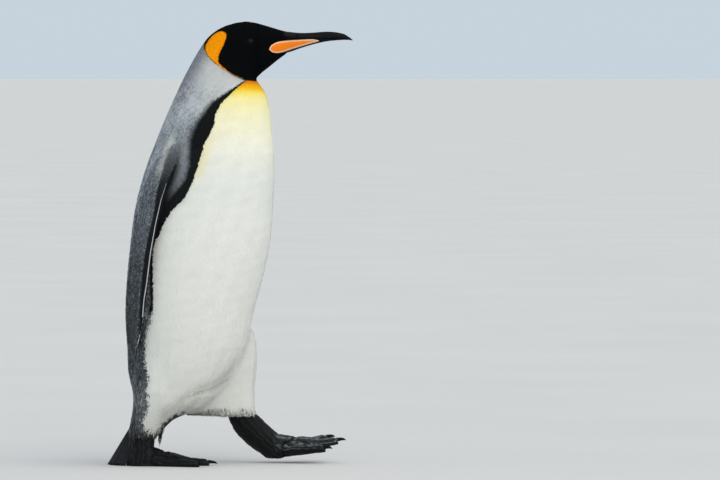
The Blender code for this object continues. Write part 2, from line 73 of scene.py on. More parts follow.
# Coat: distance between feather roots; length and width of a vane as multiples of it
SPACING = {"trunk": 0.0031, "neck": 0.0021, "head": 0.0014, "leg": 0.0026, "flipper": 0.0018}
EDGE_SPACING = 0.42     # share of the spacing along the crisp edges of the markings
VANE_LENGTH = {"trunk": 4.3, "neck": 4.3, "head": 3.4, "leg": 4.6, "flipper": 3.0}
VANE_WIDTH = {"trunk": 1.75, "neck": 1.7, "head": 1.7, "leg": 1.5, "flipper": 1.8}
BROAD = ((0.0, 0.55), (0.5, 1.0), (0.84, 0.70))     # share of length and of width at each row
FINE = ((0.0, 0.65), (0.62, 1.0))
SCALE_SHAPE = ((0.0, 0.45), (0.42, 1.0), (0.80, 0.70))
THIN_VANE = (0.0004, 0.12)      # height and ridge of a loose vane or a scale
CANDIDATES = 5.0        # trial points for each feather kept
PATCH = 0.003           # size of a tuft in the bake map
PATCH_MARGIN = 0.01
UNEVEN, FROST, ROOT_SHADE = 0.40, 0.80, 0.5     # on slate feathers: spread, pale tip, dark root
SKIN_SHADE = (0.55, 0.92)       # painted shade: brightness of the skin in the shadow under dark and under pale feathers
PALE = 0.42             # brightness from which a feather belongs to the white pieces
UPPER = 0.42            # height from which it belongs to the upper ones

# Lines that feathers turn about in the bake map
SPINE = ((-0.130, 0.0, 0.060), (-0.010, 0.0, 0.790))
HEAD_AXIS = ((-0.050, 0.0, 0.800), (0.116, 0.0, 0.845))
BILL_AXIS = ((0.108, 0.0, 0.858), (0.140, 0.0, 0.858))
FOOT_AXIS = ((0.0, 0.0, 0.0), (0.0, 0.0, 0.12))
FLIPPER_AXES = {
    "left": ((-0.19, 0.1, 0.23), (-0.12, 0.1, 0.64)), "right": ((-0.19, -0.1, 0.23), (-0.12, -0.1, 0.64)),
}
LEG_AXES = {
    "left": ((-0.01, 0.06, 0.09), (-0.02, 0.05, 0.29)), "right": ((-0.17, -0.04, 0.06), (-0.13, -0.05, 0.20)),
}
SIDES = (("left", 1), ("right", -1))

# Which way feathers point, seen from the side: x and z in mm, heading in degrees from forward to up
LIE = (
    (115, 845, 180), (90, 868, 165), (50, 885, 176), (0, 877, 192), (-35, 857, 216), (-52, 835, 236),
    (30, 840, 192), (0, 820, 216), (100, 820, 208), (80, 805, 216), (60, 780, 226), (30, 790, 226),
    (-20, 790, 236), (-72, 800, 241), (-92, 755, 245), (62, 762, 296), (77, 735, 288), (86, 680, 276),
    (0, 730, 256), (-50, 720, 250), (-130, 680, 247), (-165, 600, 252), (90, 600, 270), (0, 600, 266),
    (-190, 500, 260), (88, 500, 268), (-50, 500, 266), (-205, 400, 268), (70, 380, 264), (-50, 350, 268),
    (-208, 300, 270), (47, 300, 262), (45, 200, 266), (40, 120, 268), (-60, 200, 262), (-100, 130, 246),
    (-200, 200, 270), (-195, 130, 268), (-170, 80, 272), (-50, 120, 262), (20, 100, 276),
)
LIE_REACH = 0.012

# Outlines seen from the side: x, z
# Where the dark flank ends, from the ankle up to the throat
WHITE_EDGE = scaled(1000,
    (-145, 64), (-159, 67), (-167, 74), (-172, 88), (-167, 102), (-163, 113), (-160, 123), (-163, 140),
    (-164, 156), (-161, 170), (-160, 183), (-164, 197), (-167, 215), (-167, 241), (-165, 266), (-159, 284),
    (-151, 314), (-150, 329), (-150, 379), (-151, 417), (-149, 445), (-139, 463), (-126, 491), (-114, 511),
    (-88, 536), (-71, 568), (-63, 592), (-56, 617), (-46, 647), (-36, 665), (-28, 683), (-26, 703),
    (-13, 726), (12, 751), (35, 769), (60, 780),
)
# Back edge of the black stripe
STRIPE_EDGE = scaled(1000,
    (-162, 300), (-156, 330), (-156, 400), (-156, 440), (-150, 480), (-128, 520), (-104, 547), (-84, 572),
    (-75, 602), (-74, 627), (-72, 653), (-59, 683), (-44, 706), (-28, 729), (7, 754), (32, 769), (60, 780),
)
# How far its black fades out behind that edge
STRIPE_SOFTNESS = scaled(1000,
    (3, 300), (3, 520), (8, 550), (11, 600), (13, 645), (23, 670), (21, 705), (6, 745), (2, 780),
)
# Lower and rear edge of the black hood
HOOD = scaled(1000,
    (-80, 850), (-49, 846), (-50, 834), (-42, 818), (-29, 805), (-12, 792), (11, 778), (31, 770),
    (53, 768), (120, 768), (200, 950), (-80, 950),
)
# Orange patch behind the ear
EAR_PATCH = scaled(1000,
    (-17, 867), (-8, 865), (-4, 857), (-10, 840), (-18, 824), (-21, 812), (-17, 802), (-3, 790), (13, 780),
    (30, 773), (11, 779), (-12, 793), (-29, 807), (-41, 820), (-47, 834), (-42, 847), (-30, 861),
)
# Outline of the nape
NAPE_LINE = scaled(1000,
    (-130, 690), (-112, 730), (-94, 768), (-77, 801), (-53, 841), (-40, 860),
)
# Ridge along the outside of a flipper, from the tip up; a pale line along it is a painted highlight
RIDGE_LINE = scaled(1000,
    (-183, 238), (-180, 286), (-177, 343), (-173, 385), (-169, 418), (-162, 456), (-155, 484), (-149, 509),
    (-145, 541), (-138, 570), (-131, 598), (-121.5, 628), (-109, 652),
)
# Deep shade between the flipper's root and the flank
CLEFT_LINE = scaled(1000,
    (-136, 520), (-126, 548), (-118, 565), (-110, 585), (-103.5, 603),
)
# Half the width of that cleft
CLEFT_HALF = scaled(10000, (75, 5200), (62, 5600), (44, 5900), (30, 6030))
# Front edge of a flipper
LEADING_LINE = scaled(1000,
    (-182, 232), (-170, 286), (-166, 334), (-160, 371), (-153, 427), (-143, 484), (-132, 532), (-119, 573),
    (-102, 600), (-96, 640),
)
# Rear edge of a flipper
TRAILING_LINE = scaled(1000,
    (-192, 232), (-204, 266), (-205, 308), (-202, 363), (-197, 418), (-189, 473), (-178, 528), (-165, 573),
    (-150, 610), (-134, 643),
)
# Fold over the swung thigh: x, z, share of the full depth
BELLY_FOLD = scaled(1000,
    (18, 214, 0), (3, 180, 700), (-7, 171, 1000), (-28, 158, 1000), (-58, 149, 1000), (-81, 140, 700),
    (-96, 125, 500), (-120, 107, 200),
)
# A shallower fold below it
SMALL_FOLD = scaled(1000,
    (-56, 139, 0), (-64, 128, 600), (-74, 118, 500), (-88, 110, 0),
)
FOLD_DEPTH = 0.0042
FOLD_ABOVE, FOLD_BELOW = 0.0105, 0.0024

# Colours by height: z, red, green, blue, in thousandths
# Front of the bird, up to the throat; the white greys towards the bottom as painted shade
BELLY = scaled(1000,
    (60, 770, 780, 730), (200, 790, 800, 750), (450, 840, 850, 800), (570, 870, 890, 840),
    (630, 930, 930, 820), (700, 950, 920, 620), (735, 970, 880, 400), (748, 970, 760, 120),
    (756, 960, 530, 6), (766, 900, 280, 5), (780, 720, 190, 5),
)
BACK = scaled(1000,
    (60, 60, 64, 68), (130, 150, 158, 166), (200, 62, 69, 76), (330, 62, 70, 80), (460, 140, 157, 180),
    (560, 205, 228, 256), (640, 280, 308, 338), (720, 430, 465, 490), (790, 440, 470, 490),
    (850, 440, 470, 490),
)
# Flank between flipper and stripe, from the thigh up
FLANK = scaled(1000,
    (240, 150, 160, 165), (400, 150, 160, 165), (470, 30, 34, 38), (530, 12, 14, 17), (545, 60, 66, 72),
    (560, 135, 148, 156), (600, 215, 240, 262), (650, 250, 280, 305), (720, 330, 360, 390),
)
# Dark band in front of the ridge, from the tip up: the flipper's own dark front edge, with painted shade
# where it turns from the light
FLIPPER_BAND = scaled(1000,
    (230, 8, 10, 12), (540, 12, 15, 18), (570, 28, 32, 36), (593, 70, 78, 85), (615, 120, 134, 146),
    (640, 225, 252, 276),
)
# Outside of a flipper, from the tip up
FLIPPER_SLATE = scaled(1000,
    (230, 70, 78, 85), (340, 85, 95, 105), (400, 100, 112, 126), (470, 175, 196, 222),
    (560, 200, 222, 248), (640, 340, 370, 395),
)
BREAST_WARM = (0.93, 0.86, 0.52)
# Painted shade along the belly's folds and under it between the legs
FOLD_SHADE, HEM_SHADE = (0.36, 0.34, 0.29), (0.36, 0.36, 0.34)
NECK_LIGHT, NAPE = (0.56, 0.58, 0.57), (0.24, 0.25, 0.28)
BLACK, STRIPE = (0.0025, 0.0030, 0.0036), (0.0045, 0.0060, 0.0070)
EAR_ORANGE, EAR_TAN = (1.0, 0.33, 0.003), (0.55, 0.27, 0.08)
# Painted shade: the flipper black is laid in the cleft before a flipper's root and just in front of its
# ridge; the white is the underside's own
FLIPPER_SHADE_BLACK, FLIPPER_WHITE = (0.008, 0.010, 0.012), (0.70, 0.72, 0.72)
# The rim is the flipper's own pale front edge; the ridge colour is a painted highlight along its ridge
FLIPPER_RIM, RIDGE_HIGHLIGHT = (0.62, 0.64, 0.65), (0.19, 0.21, 0.23)
# Painted highlight on the lit shoulder, above the flipper's root
SHOULDER_HIGHLIGHT = (0.56, 0.58, 0.55)
DARK_TUFT = (0.028, 0.030, 0.032)
DARK_TUFT_AT, DARK_TUFT_SIZE, DARK_TUFT_SLANT = (-0.1165, 0.084), (0.017, 0.026), 0.9

# Ankle fringes: middle of the feathered ankle, reach along x and y, its height, length of its feathers
ANKLES = {
    "left": ((-0.0120, 0.0600, 0.1010), (0.080, 0.054), 0.0120, (0.004, 0.009)),
    "right": ((-0.1740, -0.0340, 0.0620), (0.042, 0.042), 0.0150, (0.010, 0.019)),
}
FRINGE_REPEATS, FRINGE_WIDTH, FRINGE_SPREAD, FRINGE_STRAY = 3, 0.0021, 0.0010, 0.09
FRINGE_DARK, FRINGE_DARK_SHARE = (0.32, 0.32, 0.30), 0.18
STRAND_TOP, STRAND_END = (-0.1330, -0.034, 0.082), (-0.1420, -0.033, 0.039)
STRAND_FEATHERS, STRAND_WIDTH, STRAND_SPREAD = 44, 0.0018, (0.0024, 0.0030, 0.0030)
RIM_FROM, RIM_TO, RIM_STEP, RIM_LENGTH = 0.240, 0.566, 0.0011, 0.0052
RIM_WIDTHS = ((0.240, 0.30, 0.40, 0.53, 0.566), (0.0014, 0.0022, 0.0022, 0.0015, 0.0007))

# Feet: ends of the shanks, where the toes start, half thickness of shank and toe, ridges round them
SHANKS = {
    "left": ((0.012, 0.060, 0.110), (0.080, 0.062, 0.036)),
    "right": ((-0.174, -0.032, 0.075), (-0.178, -0.032, 0.016)),
}
FOOT_ROOTS = {"left": (0.112, 0.064, 0.028), "right": (-0.148, -0.034, 0.012)}
SHANK_HALF, SHANK_RIDGES = 0.024, 9
TOE_HALF, TOE_RIDGES, TOE_GAP = 0.0105, 6, 0.012
# Black of the bare feet, and the painted highlight laid on their ridges and toe tops
FOOT_BLACK, FOOT_GLINT = (0.0030, 0.0036, 0.0042), (0.150, 0.168, 0.184)
FOOT_SPACING = (0.0019, 0.0023)     # distance between scales: on the sides, and on top
SCALE_SINK = 0.00025
NAIL_ROOT = 0.0035      # how far a nail is sunk into its toe
NAIL_RINGS, NAIL_SIDES = 19, 18

# Head
EYE = (0.0425, 0.0280, 0.8460)
EYE_RADIUS, EYE_BARE = 0.0085, 0.0112
EYE_AIM, EYE_SIDES = (0.16, 1.0, 0.05), 40
IRIS, EYE_RING = (0.009, 0.005, 0.003), (0.006, 0.005, 0.005)
LID_SIDES, LID_REACH, LID_THICKNESS, LID_COLOUR = 48, 0.0118, 0.0007, (0.005, 0.005, 0.006)
LID_WIDE, LID_CORNER, LID_HIGH = 0.0058, 0.0006, 0.0047    # half sizes of the eye's opening
LID_ROWS = (            # reach beyond the eye's opening, rise, share of the way to the skin
    (-0.0004, -0.0006, 0.0), (0.0, 0.0003, 0.0), (0.0004, 0.0008, 0.0), (0.0009, 0.0009, 0.0),
    (0.0015, 0.0006, 0.15), (0.0023, 0.0005, 0.4), (0.0031, 0.0002, 0.65), (0.0042, 0.0003, 0.85),
    (None, -0.0002, 1.0),
)
BILL_BACK, BILL_ROOT, LOWER_BILL_END = 0.108, 0.1160, 0.236
BILL_ROWS, BILL_SLIMMER = 44, 0.24      # the bill narrows by that share under its plates
# x, top, gape, bottom, half width
BILL_SECTIONS = scaled(10000,
    (1080, 8680, 8520, 8215, 165), (1163, 8660, 8525, 8245, 162), (1420, 8638, 8530, 8332, 120),
    (1680, 8645, 8530, 8410, 90), (1940, 8663, 8529, 8467, 73), (2140, 8650, 8525, 8488, 60),
    (2300, 8612, 8512, 8498, 43), (2400, 8550, 8494, 8494, 26), (2460, 8500, 8485, 8485, 8),
)
# Upper outline of the orange plate
PLATE_TOP = scaled(10000,
    (790, 8312), (840, 8392), (980, 8468), (1190, 8506), (1460, 8516), (1660, 8512), (1815, 8483),
)
# Its lower outline
PLATE_LOW = scaled(10000,
    (790, 8312), (860, 8244), (980, 8231), (1100, 8248), (1210, 8276), (1360, 8325), (1500, 8374),
    (1680, 8434), (1815, 8483),
)
PLATE = (*PLATE_TOP, *PLATE_LOW[-2:0:-1])
PLATE_FROM, PLATE_TO = 0.0793, 0.1808
PLATE_RAISE, PLATE_SINK, PLATE_DEEP = 0.0006, 0.0007, 0.0024
PLATE_ROWS, PLATE_COLUMNS = 96, 31
# Outline of the orange field on the plate
ORANGE = scaled(10000,
    (803, 8312), (810, 8338), (828, 8368), (862, 8402), (925, 8438), (1029, 8465), (1184, 8482),
    (1361, 8494), (1538, 8504), (1693, 8508), (1771, 8490), (1781, 8470), (1672, 8442), (1538, 8404),
    (1405, 8365), (1274, 8325), (1140, 8281), (1041, 8250), (951, 8238), (880, 8246), (829, 8273),
    (808, 8292),
)
PLATE_ORANGE, PLATE_PINK, PLATE_RIM = (0.98, 0.235, 0.004), (0.80, 0.30, 0.12), (0.95, 0.60, 0.38)
HORN_BLACK = (0.004, 0.004, 0.005)
BILL_FEATHERS, BILL_FEATHER_WIDTH = 1300, 0.0011
BILL_FEATHERS_FROM, BILL_FEATHERS_LENGTH = 0.1125, 0.026

# Tail
TAIL_ROOT, TAIL_TIP = (-0.176, 0.0, 0.108), (-0.2415, 0.0, 0.0008)
TAIL_SIDE_ROOT, TAIL_SIDE_TIP = (-0.180, 0.022, 0.100), (-0.2070, 0.0445, 0.0008)
TAIL_FEATHERS, TAIL_SPREAD = 15, 0.90

# Finishes: roughness, specular, scale of the noise, then its least and most light (on painted markings)
# or its dark and pale tone, and the strength of the relief
MARKED = {
    "feathered_skin": (0.85, 0.08, 500.0, 0.9, 1.1, 0.2),
    "foot_leather": (0.42, 0.16, 420.0, 0.45, 1.9, 0.9),
    "plumage_white": (0.80, 0.12, 700.0, 0.97, 1.03, 0.08),
    "plumage_slate": (0.72, 0.16, 700.0, 0.85, 1.15, 0.25),
    "plumage_velvet": (0.9, 0.03, 700.0, 0.8, 1.2, 0.25),
    "bill_plate": (0.45, 0.25, 180.0, 0.93, 1.07, 0.1),
    "eye": (0.10, 0.13, 900.0, 0.9, 1.1, 0.0),
    "eyelid": (0.8, 0.06, 900.0, 0.7, 1.3, 0.6),
    "tail_vanes": (0.55, 0.09, 500.0, 0.5, 1.5, 0.5),
    "foot_scale": (0.38, 0.16, 600.0, 0.6, 1.5, 0.5),
}
STREAKED = {
    "bill_horn": (0.40, 0.07, 260.0, (0.0025, 0.0030, 0.0035), (0.0070, 0.0075, 0.0085), 0.35),
    "claw_horn": (0.42, 0.07, 260.0, (0.004, 0.004, 0.005), (0.012, 0.012, 0.013), 0.35),
    "pale_floor": (0.9, 0.1, 1.2, (0.655, 0.645, 0.63), (0.685, 0.675, 0.66), 0.0),
}
# Detail and stretch of the noise, and depth of the relief
NOISE_KINDS = {
    "marked": (4.0, (1.0, 1.0, 1.0), 0.0004), "horn": (6.0, (0.12, 1.0, 1.0), 0.0003),
    "floor": (3.0, (1.0, 1.0, 1.0), 0.0),
}

# Camera, floor and light
LENS, CAMERA_AT, CAMERA_AIM = 300.1, (0.2595, -11.9894, 0.780), (0.2595, 0.0106, 0.450)
FLOOR_HALF, FLOOR_START, FLOOR_END = 400, -30, 1200.0
SKY = (0.57, 0.65, 0.72)
SUN_FROM, SUN_SPREAD = (0.36, -0.58, 0.73), 75.0
SUN_STRENGTH, SUN_COLOUR = 1.66, (1.0, 0.90, 0.80)


# ---------------------------------------------------------------- numbers and places

def unit(vectors):
    """Vectors scaled to length one."""
    return vectors / np.maximum(np.linalg.norm(vectors, axis=-1, keepdims=True), 1e-12)


def upright(points, way=1):
    """Points with the bird's lean taken out, so that y = 0 is its plane of symmetry."""
    out = np.array(points, float)
    out[..., 0] += way * MIDDLE_X
    out[..., 1] += way * (LEAN * out[..., 2] + MIDDLE_Y)
    return out


def leaned(points):
    """Points of the upright bird moved to where the leaning bird has them."""
    return upright(points, -1)


def side_view(points):
    """x and z of points with the lean taken out."""
    place = upright(points)
    return place[..., 0], place[..., 2]


def step(low, high, value):
    """Smooth step from 0 at low to 1 at high."""
    part = np.clip((value - low) / (high - low), 0.0, 1.0)
    return part * part * (3 - 2 * part)


def mix(first, second, share):
    """Blend of two colours, share by share."""
    share = np.asarray(share)[..., None]
    return np.asarray(first) * (1 - share) + np.asarray(second) * share


def ramp(rows, height):
    """Colour at each height, from rows of height and colour."""
    rows = np.array(rows)
    return np.stack([np.interp(height, rows[:, 0], rows[:, k]) for k in (1, 2, 3)], -1)


def edge_x(rows, height):
    """x of a side-view edge that rises from row to row, at each height."""
    rows = np.array(rows)
    return np.interp(height, rows[:, 1], rows[:, 0])


def bend(p0, p1, p2, p3, part):
    """A point on the Catmull-Rom curve between p1 and p2."""
    return 0.5 * (2 * p1 + (p2 - p0) * part + (2 * p0 - 5 * p1 + 4 * p2 - p3) * part ** 2
                  + (3 * p1 - p0 - 3 * p2 + p3) * part ** 3)


def rounded(outline, steps):
    """A closed outline bent smoothly through its points."""
    rows = np.array(outline)
    four = [np.roll(rows, turn, 0) for turn in (1, 0, -1, -2)]
    curve = [bend(*four, part) for part in np.arange(steps) / steps]
    return tuple(map(tuple, np.stack(curve, 1).reshape(-1, 2)))


def between(rows, x):
    """Smooth values at x, from rows whose first entry rises."""
    rows = np.array(rows)
    last = len(rows) - 1
    first = int(np.clip(np.searchsorted(rows[:, 0], x) - 1, 0, last - 1))
    part = (x - rows[first, 0]) / (rows[first + 1, 0] - rows[first, 0])
    p0, p1, p2, p3 = (rows[min(max(i, 0), last)] for i in range(first - 1, first + 3))
    p0 = 2 * p1 - p2 if first == 0 else p0
    p3 = 2 * p2 - p1 if first == last - 1 else p3
    return bend(p0, p1, p2, p3, part)


def off_line(x, z, start, end):
    """Share of the way along a side-view line, and distance from it."""
    (ax, az), (bx, bz) = start[:2], end[:2]
    along = ((x - ax) * (bx - ax) + (z - az) * (bz - az)) / ((bx - ax) ** 2 + (bz - az) ** 2)
    along = np.clip(along, 0.0, 1.0)
    return along, np.hypot(x - ax - along * (bx - ax), z - az - along * (bz - az))


def outline_distance(outline, x, z):
    """Distance from a closed side-view outline, negative inside."""
    inside = np.zeros(x.shape, bool)
    nearest = np.full(x.shape, np.inf)
    for start, end in zip(outline, outline[1:] + outline[:1]):
        nearest = np.minimum(nearest, off_line(x, z, start, end)[1])
        (ax, az), (bx, bz) = start, end
        if az != bz:
            inside ^= ((az > z) != (bz > z)) & (x < (bx - ax) * (z - az) / (bz - az) + ax)
    return np.where(inside, -nearest, nearest)


def waves(points, size, seed):
    """Smooth random values, about -1 to 1, that change over the given size."""
    draw = np.random.default_rng(seed)
    total = np.zeros(len(points))
    for _ in range(6):
        aim = unit(draw.normal(size=3)) * draw.uniform(0.6, 1.5) * math.tau / size
        total += np.sin(points @ aim + draw.uniform(0, math.tau))
    return total / 2.4


def lie_field(points):
    """Unit direction in which feathers point at each place, before it is laid on the surface."""
    guides = np.array(LIE, float)
    headings = np.radians(guides[:, 2])
    gap = (points[:, None, 0] - guides[:, 0] / 1000) ** 2 + (points[:, None, 2] - guides[:, 1] / 1000) ** 2
    weight = 1.0 / (gap + LIE_REACH ** 2) ** 2
    return unit(np.stack([weight @ np.cos(headings), np.zeros(len(points)), weight @ np.sin(headings)], -1))


def silkiness(points):
    """How smooth the plumage lies: 1 on breast and belly, nearly so on the neck, 0 on the back."""
    x, z = side_view(points)
    belly = step(-0.004, 0.012, x - edge_x(WHITE_EDGE, z))
    return np.maximum(belly, 0.85 * step(0.72, 0.79, z))


# ---------------------------------------------------------------- meshes

def new_object(name, mesh):
    """An object in the scene."""
    made = bpy.data.objects.new(name, mesh)
    bpy.context.scene.collection.objects.link(made)
    return made


def mesh_from(name, points, face_lists, flat=(), colours=None, patches=None, facing=None):
    """A mesh from arrays. face_lists holds one array of vertex numbers for each face size.

    flat names the lists whose faces are shaded flat. patches are texture places by vertex.
    facing holds shading normals by vertex, zero where the mesh's own are wanted.
    """
    mesh = bpy.data.meshes.new(name)
    mesh.vertices.add(len(points))
    mesh.vertices.foreach_set("co", np.asarray(points, np.float32).ravel())
    corners = np.concatenate([faces.ravel() for faces in face_lists])
    sizes = np.concatenate([np.full(len(faces), faces.shape[1]) for faces in face_lists])
    smooth = np.concatenate([np.full(len(faces), i not in flat) for i, faces in enumerate(face_lists)])
    mesh.loops.add(len(corners))
    mesh.loops.foreach_set("vertex_index", corners.astype(np.int32))
    mesh.polygons.add(len(sizes))
    mesh.polygons.foreach_set("loop_start", (np.cumsum(sizes) - sizes).astype(np.int32))
    mesh.polygons.foreach_set("use_smooth", smooth)
    mesh.update(calc_edges=True)
    if colours is not None:
        layer = mesh.color_attributes.new("coat", "FLOAT_COLOR", "POINT")
        rgba = np.ones((len(points), 4), np.float32)
        rgba[:, :3] = np.clip(colours, 0.0, 1.0)
        layer.data.foreach_set("color", rgba.ravel())
    if patches is not None:
        layer = mesh.uv_layers.new(name="OFBake")
        layer.data.foreach_set("uv", np.asarray(patches, np.float32)[corners].ravel())
    if facing is not None:
        mesh.normals_split_custom_set(facing[corners] * np.repeat(smooth, sizes)[:, None])
    return mesh


def grid_faces(rows, columns, closed):
    """Quads of a grid of points, row after row; closed joins the last column to the first."""
    across = columns if closed else columns - 1
    i, j = np.meshgrid(np.arange(rows - 1), np.arange(across), indexing="ij")
    k = (j + 1) % columns
    quads = np.stack([i * columns + j, i * columns + k, (i + 1) * columns + k, (i + 1) * columns + j], -1)
    return quads.reshape(-1, 4)


def tube(name, rings, colours=None):
    """A closed solid through rings of points, its ends closed by fans."""
    def ended(values):
        return np.concatenate([values.reshape(-1, 3), values[:1].mean(1), values[-1:].mean(1)])

    rows, columns = rings.shape[:2]
    turn = np.arange(columns)
    following = (turn + 1) % columns
    middle, last = np.full(columns, rows * columns), (rows - 1) * columns
    fans = ([following, turn, middle], [last + turn, last + following, middle + 1])
    fans = np.concatenate([np.stack(fan, -1) for fan in fans])
    colours = None if colours is None else ended(colours)
    return mesh_from(name, ended(rings), [grid_faces(rows, columns, True), fans], colours=colours)


def face_out(mesh):
    """Turn a closed mesh's faces outwards."""
    form = bmesh.new()
    form.from_mesh(mesh)
    bmesh.ops.recalc_face_normals(form, faces=form.faces)
    form.to_mesh(mesh)
    form.free()
    return mesh


def mesh_of(form, name):
    """The mesh that a bmesh holds; the bmesh is freed."""
    mesh = bpy.data.meshes.new(name)
    form.to_mesh(mesh)
    form.free()
    return mesh


def read(items, key, width, kind=np.float32):
    """A property of a mesh's items as an array, one row for each."""
    values = np.empty(len(items) * width, kind)
    items.foreach_get(key, values)
    return values.reshape(-1, width)


def surface_of(mesh):
    """Points, quads and edges of a quad mesh, as arrays."""
    points = read(mesh.vertices, "co", 3).astype(float)
    quads = read(mesh.loops, "vertex_index", 1, np.int32).reshape(-1, 4).astype(np.int64)
    return points, quads, read(mesh.edges, "vertices", 2, np.int32)


def node_solid(name):
    """A welded working copy of a CAD solid."""
    form = bmesh.new()
    form.from_mesh(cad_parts[name].data)
    bmesh.ops.remove_doubles(form, verts=form.verts, dist=1e-5)
    form.normal_update()
    return form


def solid_points(name):
    """Corners of a CAD solid."""
    form = node_solid(name)
    points = np.array([vertex.co for vertex in form.verts])
    form.free()
    return points


# ---------------------------------------------------------------- skin

def merged_skin(names, voxel):
    """Points, quads and edges of one closed surface round several solids, grown to close their gaps."""
    joined = bmesh.new()
    for name in names:
        form = node_solid(name)
        for vertex in form.verts:
            vertex.co += vertex.normal * SKIN_GROWTH
        joined.from_mesh(mesh_of(form, "part"))
    holder = new_object("merged", mesh_of(joined, "merged"))
    change = holder.modifiers.new("merge", "REMESH")
    change.mode, change.voxel_size = "VOXEL", voxel
    graph = bpy.context.evaluated_depsgraph_get()
    out = bpy.data.meshes.new_from_object(holder.evaluated_get(graph))
    bpy.data.objects.remove(holder)
    return surface_of(out)


def around(values, pairs):
    """Sum of the neighbours' values at each vertex, column by column."""
    if values.ndim > 1:
        return np.stack([around(column, pairs) for column in values.T], -1)
    (first, second), count = pairs.T, len(values)
    return np.bincount(first, values[second], count) + np.bincount(second, values[first], count)


def relax(points, pairs, strength, rounds):
    """Smooth points without shrinking the form: a smoothing pass and a swelling pass by turns."""
    degree = around(np.ones_like(points), pairs)
    for _ in range(rounds):
        for push in SMOOTH_PUSHES:
            points = points + strength[:, None] * push * (around(points, pairs) / degree - points)
    return points


def blurred(values, pairs, rounds):
    """Values at the vertices, averaged with their neighbours' again and again."""
    share = 1 + around(np.ones_like(values), pairs)
    for _ in range(rounds):
        values = (values + around(values, pairs)) / share
    return values


def owner_tree(names):
    """A search tree over several solids, and the kind of each of its faces: its solid's without the side."""
    points, faces, kinds = [], [], []
    for name in names:
        form = node_solid(name)
        start = len(points)
        points += [vertex.co.copy() for vertex in form.verts]
        faces += [[start + vertex.index for vertex in face.verts] for face in form.faces]
        kinds += [name.split("_")[0]] * len(form.faces)
        form.free()
    return BVHTree.FromPolygons(points, faces), kinds


def kinds_at(points, names):
    """The kind of the nearest solid at each point."""
    tree, kinds = owner_tree(names)
    return np.array([kinds[tree.find_nearest(point)[2]] for point in points.tolist()])


def by_kind(kinds, table):
    """A value from a table for each kind."""
    return np.array([table[kind] for kind in kinds.tolist()])


def normals_of(points, quads):
    """Smooth vertex normals of a quad surface."""
    a, b, c, d = (points[quads[:, i]] for i in range(4))
    across = np.cross(c - a, d - b)
    count = len(points)
    total = np.stack([sum(np.bincount(quads[:, i], across[:, k], count) for i in range(4))
                      for k in range(3)], -1)
    return unit(total)


def crease_depth(points):
    """How far the skin sinks along the folds of the belly: gently above each line, steeply below."""
    x, z = side_view(points)
    depth = np.zeros(len(points))
    for line in (BELLY_FOLD, SMALL_FOLD):
        nearest, found = np.full(len(points), np.inf), np.zeros(len(points))
        for start, end in zip(line, line[1:]):
            part, away = off_line(x, z, start, end)
            (ax, az, a_share), (bx, bz, b_share) = start, end
            above = (bx - ax) * (z - az) - (bz - az) * (x - ax) < 0
            sunk = np.exp(-(away / np.where(above, FOLD_ABOVE, FOLD_BELOW)) ** 2)
            found = np.where(away < nearest, sunk * (a_share + (b_share - a_share) * part), found)
            nearest = np.minimum(nearest, away)
        depth = np.maximum(depth, found)
    return FOLD_DEPTH * depth * step(0.02, -0.03, upright(points)[:, 1])


def ease_hollows(points, pairs, quads, kinds):
    """Fill the sharp hollows between thighs and trunk, so that they run into each other."""
    soft = (points[:, 2] < HOLLOW_TOP) & (kinds != "flipper")
    number = np.cumsum(soft) - 1
    inner = number[pairs[soft[pairs].all(1)]]
    part = points[soft]
    degree = np.maximum(around(np.ones_like(part), inner), 1)
    share = step(HOLLOW_TOP - 0.005, HOLLOW_TOP - 0.035, part[:, 2])
    for turn in range(HOLLOW_ROUNDS):
        if turn % NORMALS_EVERY == 0:
            points[soft] = part
            normals = normals_of(points, quads)[soft]
        rise = ((around(part, inner) / degree - part) * normals).sum(1)
        part = part + normals * (np.maximum(rise, 0) * share)[:, None]
    points[soft] = part
    return points


def make_plumed_skin():
    """The feathered skin, smoothed and sunk by the coat's depth.

    Places, normals, quads, kinds, depth of the coat, distance between feathers, and the even
    normals by which silky plumage is shaded.
    """
    points, quads, pairs = merged_skin(BODY_NODES, SKIN_VOXEL)
    kinds = kinds_at(points, BODY_NODES)
    points = relax(points, pairs, blurred(by_kind(kinds, SMOOTHING), pairs, 6), SMOOTH_ROUNDS)
    points = ease_hollows(points, pairs, quads, kinds)
    normals = normals_of(points, quads)
    depth = blurred(by_kind(kinds, COAT_DEPTH), pairs, BORDER_ROUNDS)
    depth *= 1 - (1 - SILK_DEPTH) * silkiness(points)
    gap = blurred(by_kind(kinds, SPACING), pairs, BORDER_ROUNDS)
    even = blurred(normals, pairs, EVEN_ROUNDS)
    change = (even - normals) * step(*EVEN_HEIGHTS, points[:, 2])[:, None]
    points = points - normals * (depth + SKIN_GROWTH + crease_depth(points))[:, None]
    normals = normals_of(points, quads)
    return points, normals, quads, kinds, depth, gap, unit(normals + change)


def make_foot_skin():
    """The bare skin of lower legs and feet."""
    points, quads, pairs = merged_skin(FOOT_NODES, FOOT_VOXEL)
    points = relax(points, pairs, np.full(len(points), FOOT_SMOOTHING), FOOT_ROUNDS)
    normals = normals_of(points, quads)
    points = points - normals * (SKIN_GROWTH + foot_wrinkles(points))[:, None]
    points[:, 2] = np.maximum(points[:, 2], 0.0)
    return points, normals_of(points, quads), quads


def foot_lines():
    """Lines through shanks and toes: start, end, half thickness, ridges round it."""
    lines = [(*ends, SHANK_HALF, SHANK_RIDGES) for ends in SHANKS.values()]
    for side, outward in SIDES:
        for place, toe in zip((-1, 0, 1), ("inner", "middle", "outer")):
            claw = solid_points(f"claw_{side}_{toe}")
            start = np.array(FOOT_ROOTS[side]) + (0.0, TOE_GAP * place * outward, 0.0)
            end = claw[np.argsort(claw[:, 0])[:8]].mean(0) - (0, 0, 0.002)
            lines.append((start, end, TOE_HALF, TOE_RIDGES))
    return lines


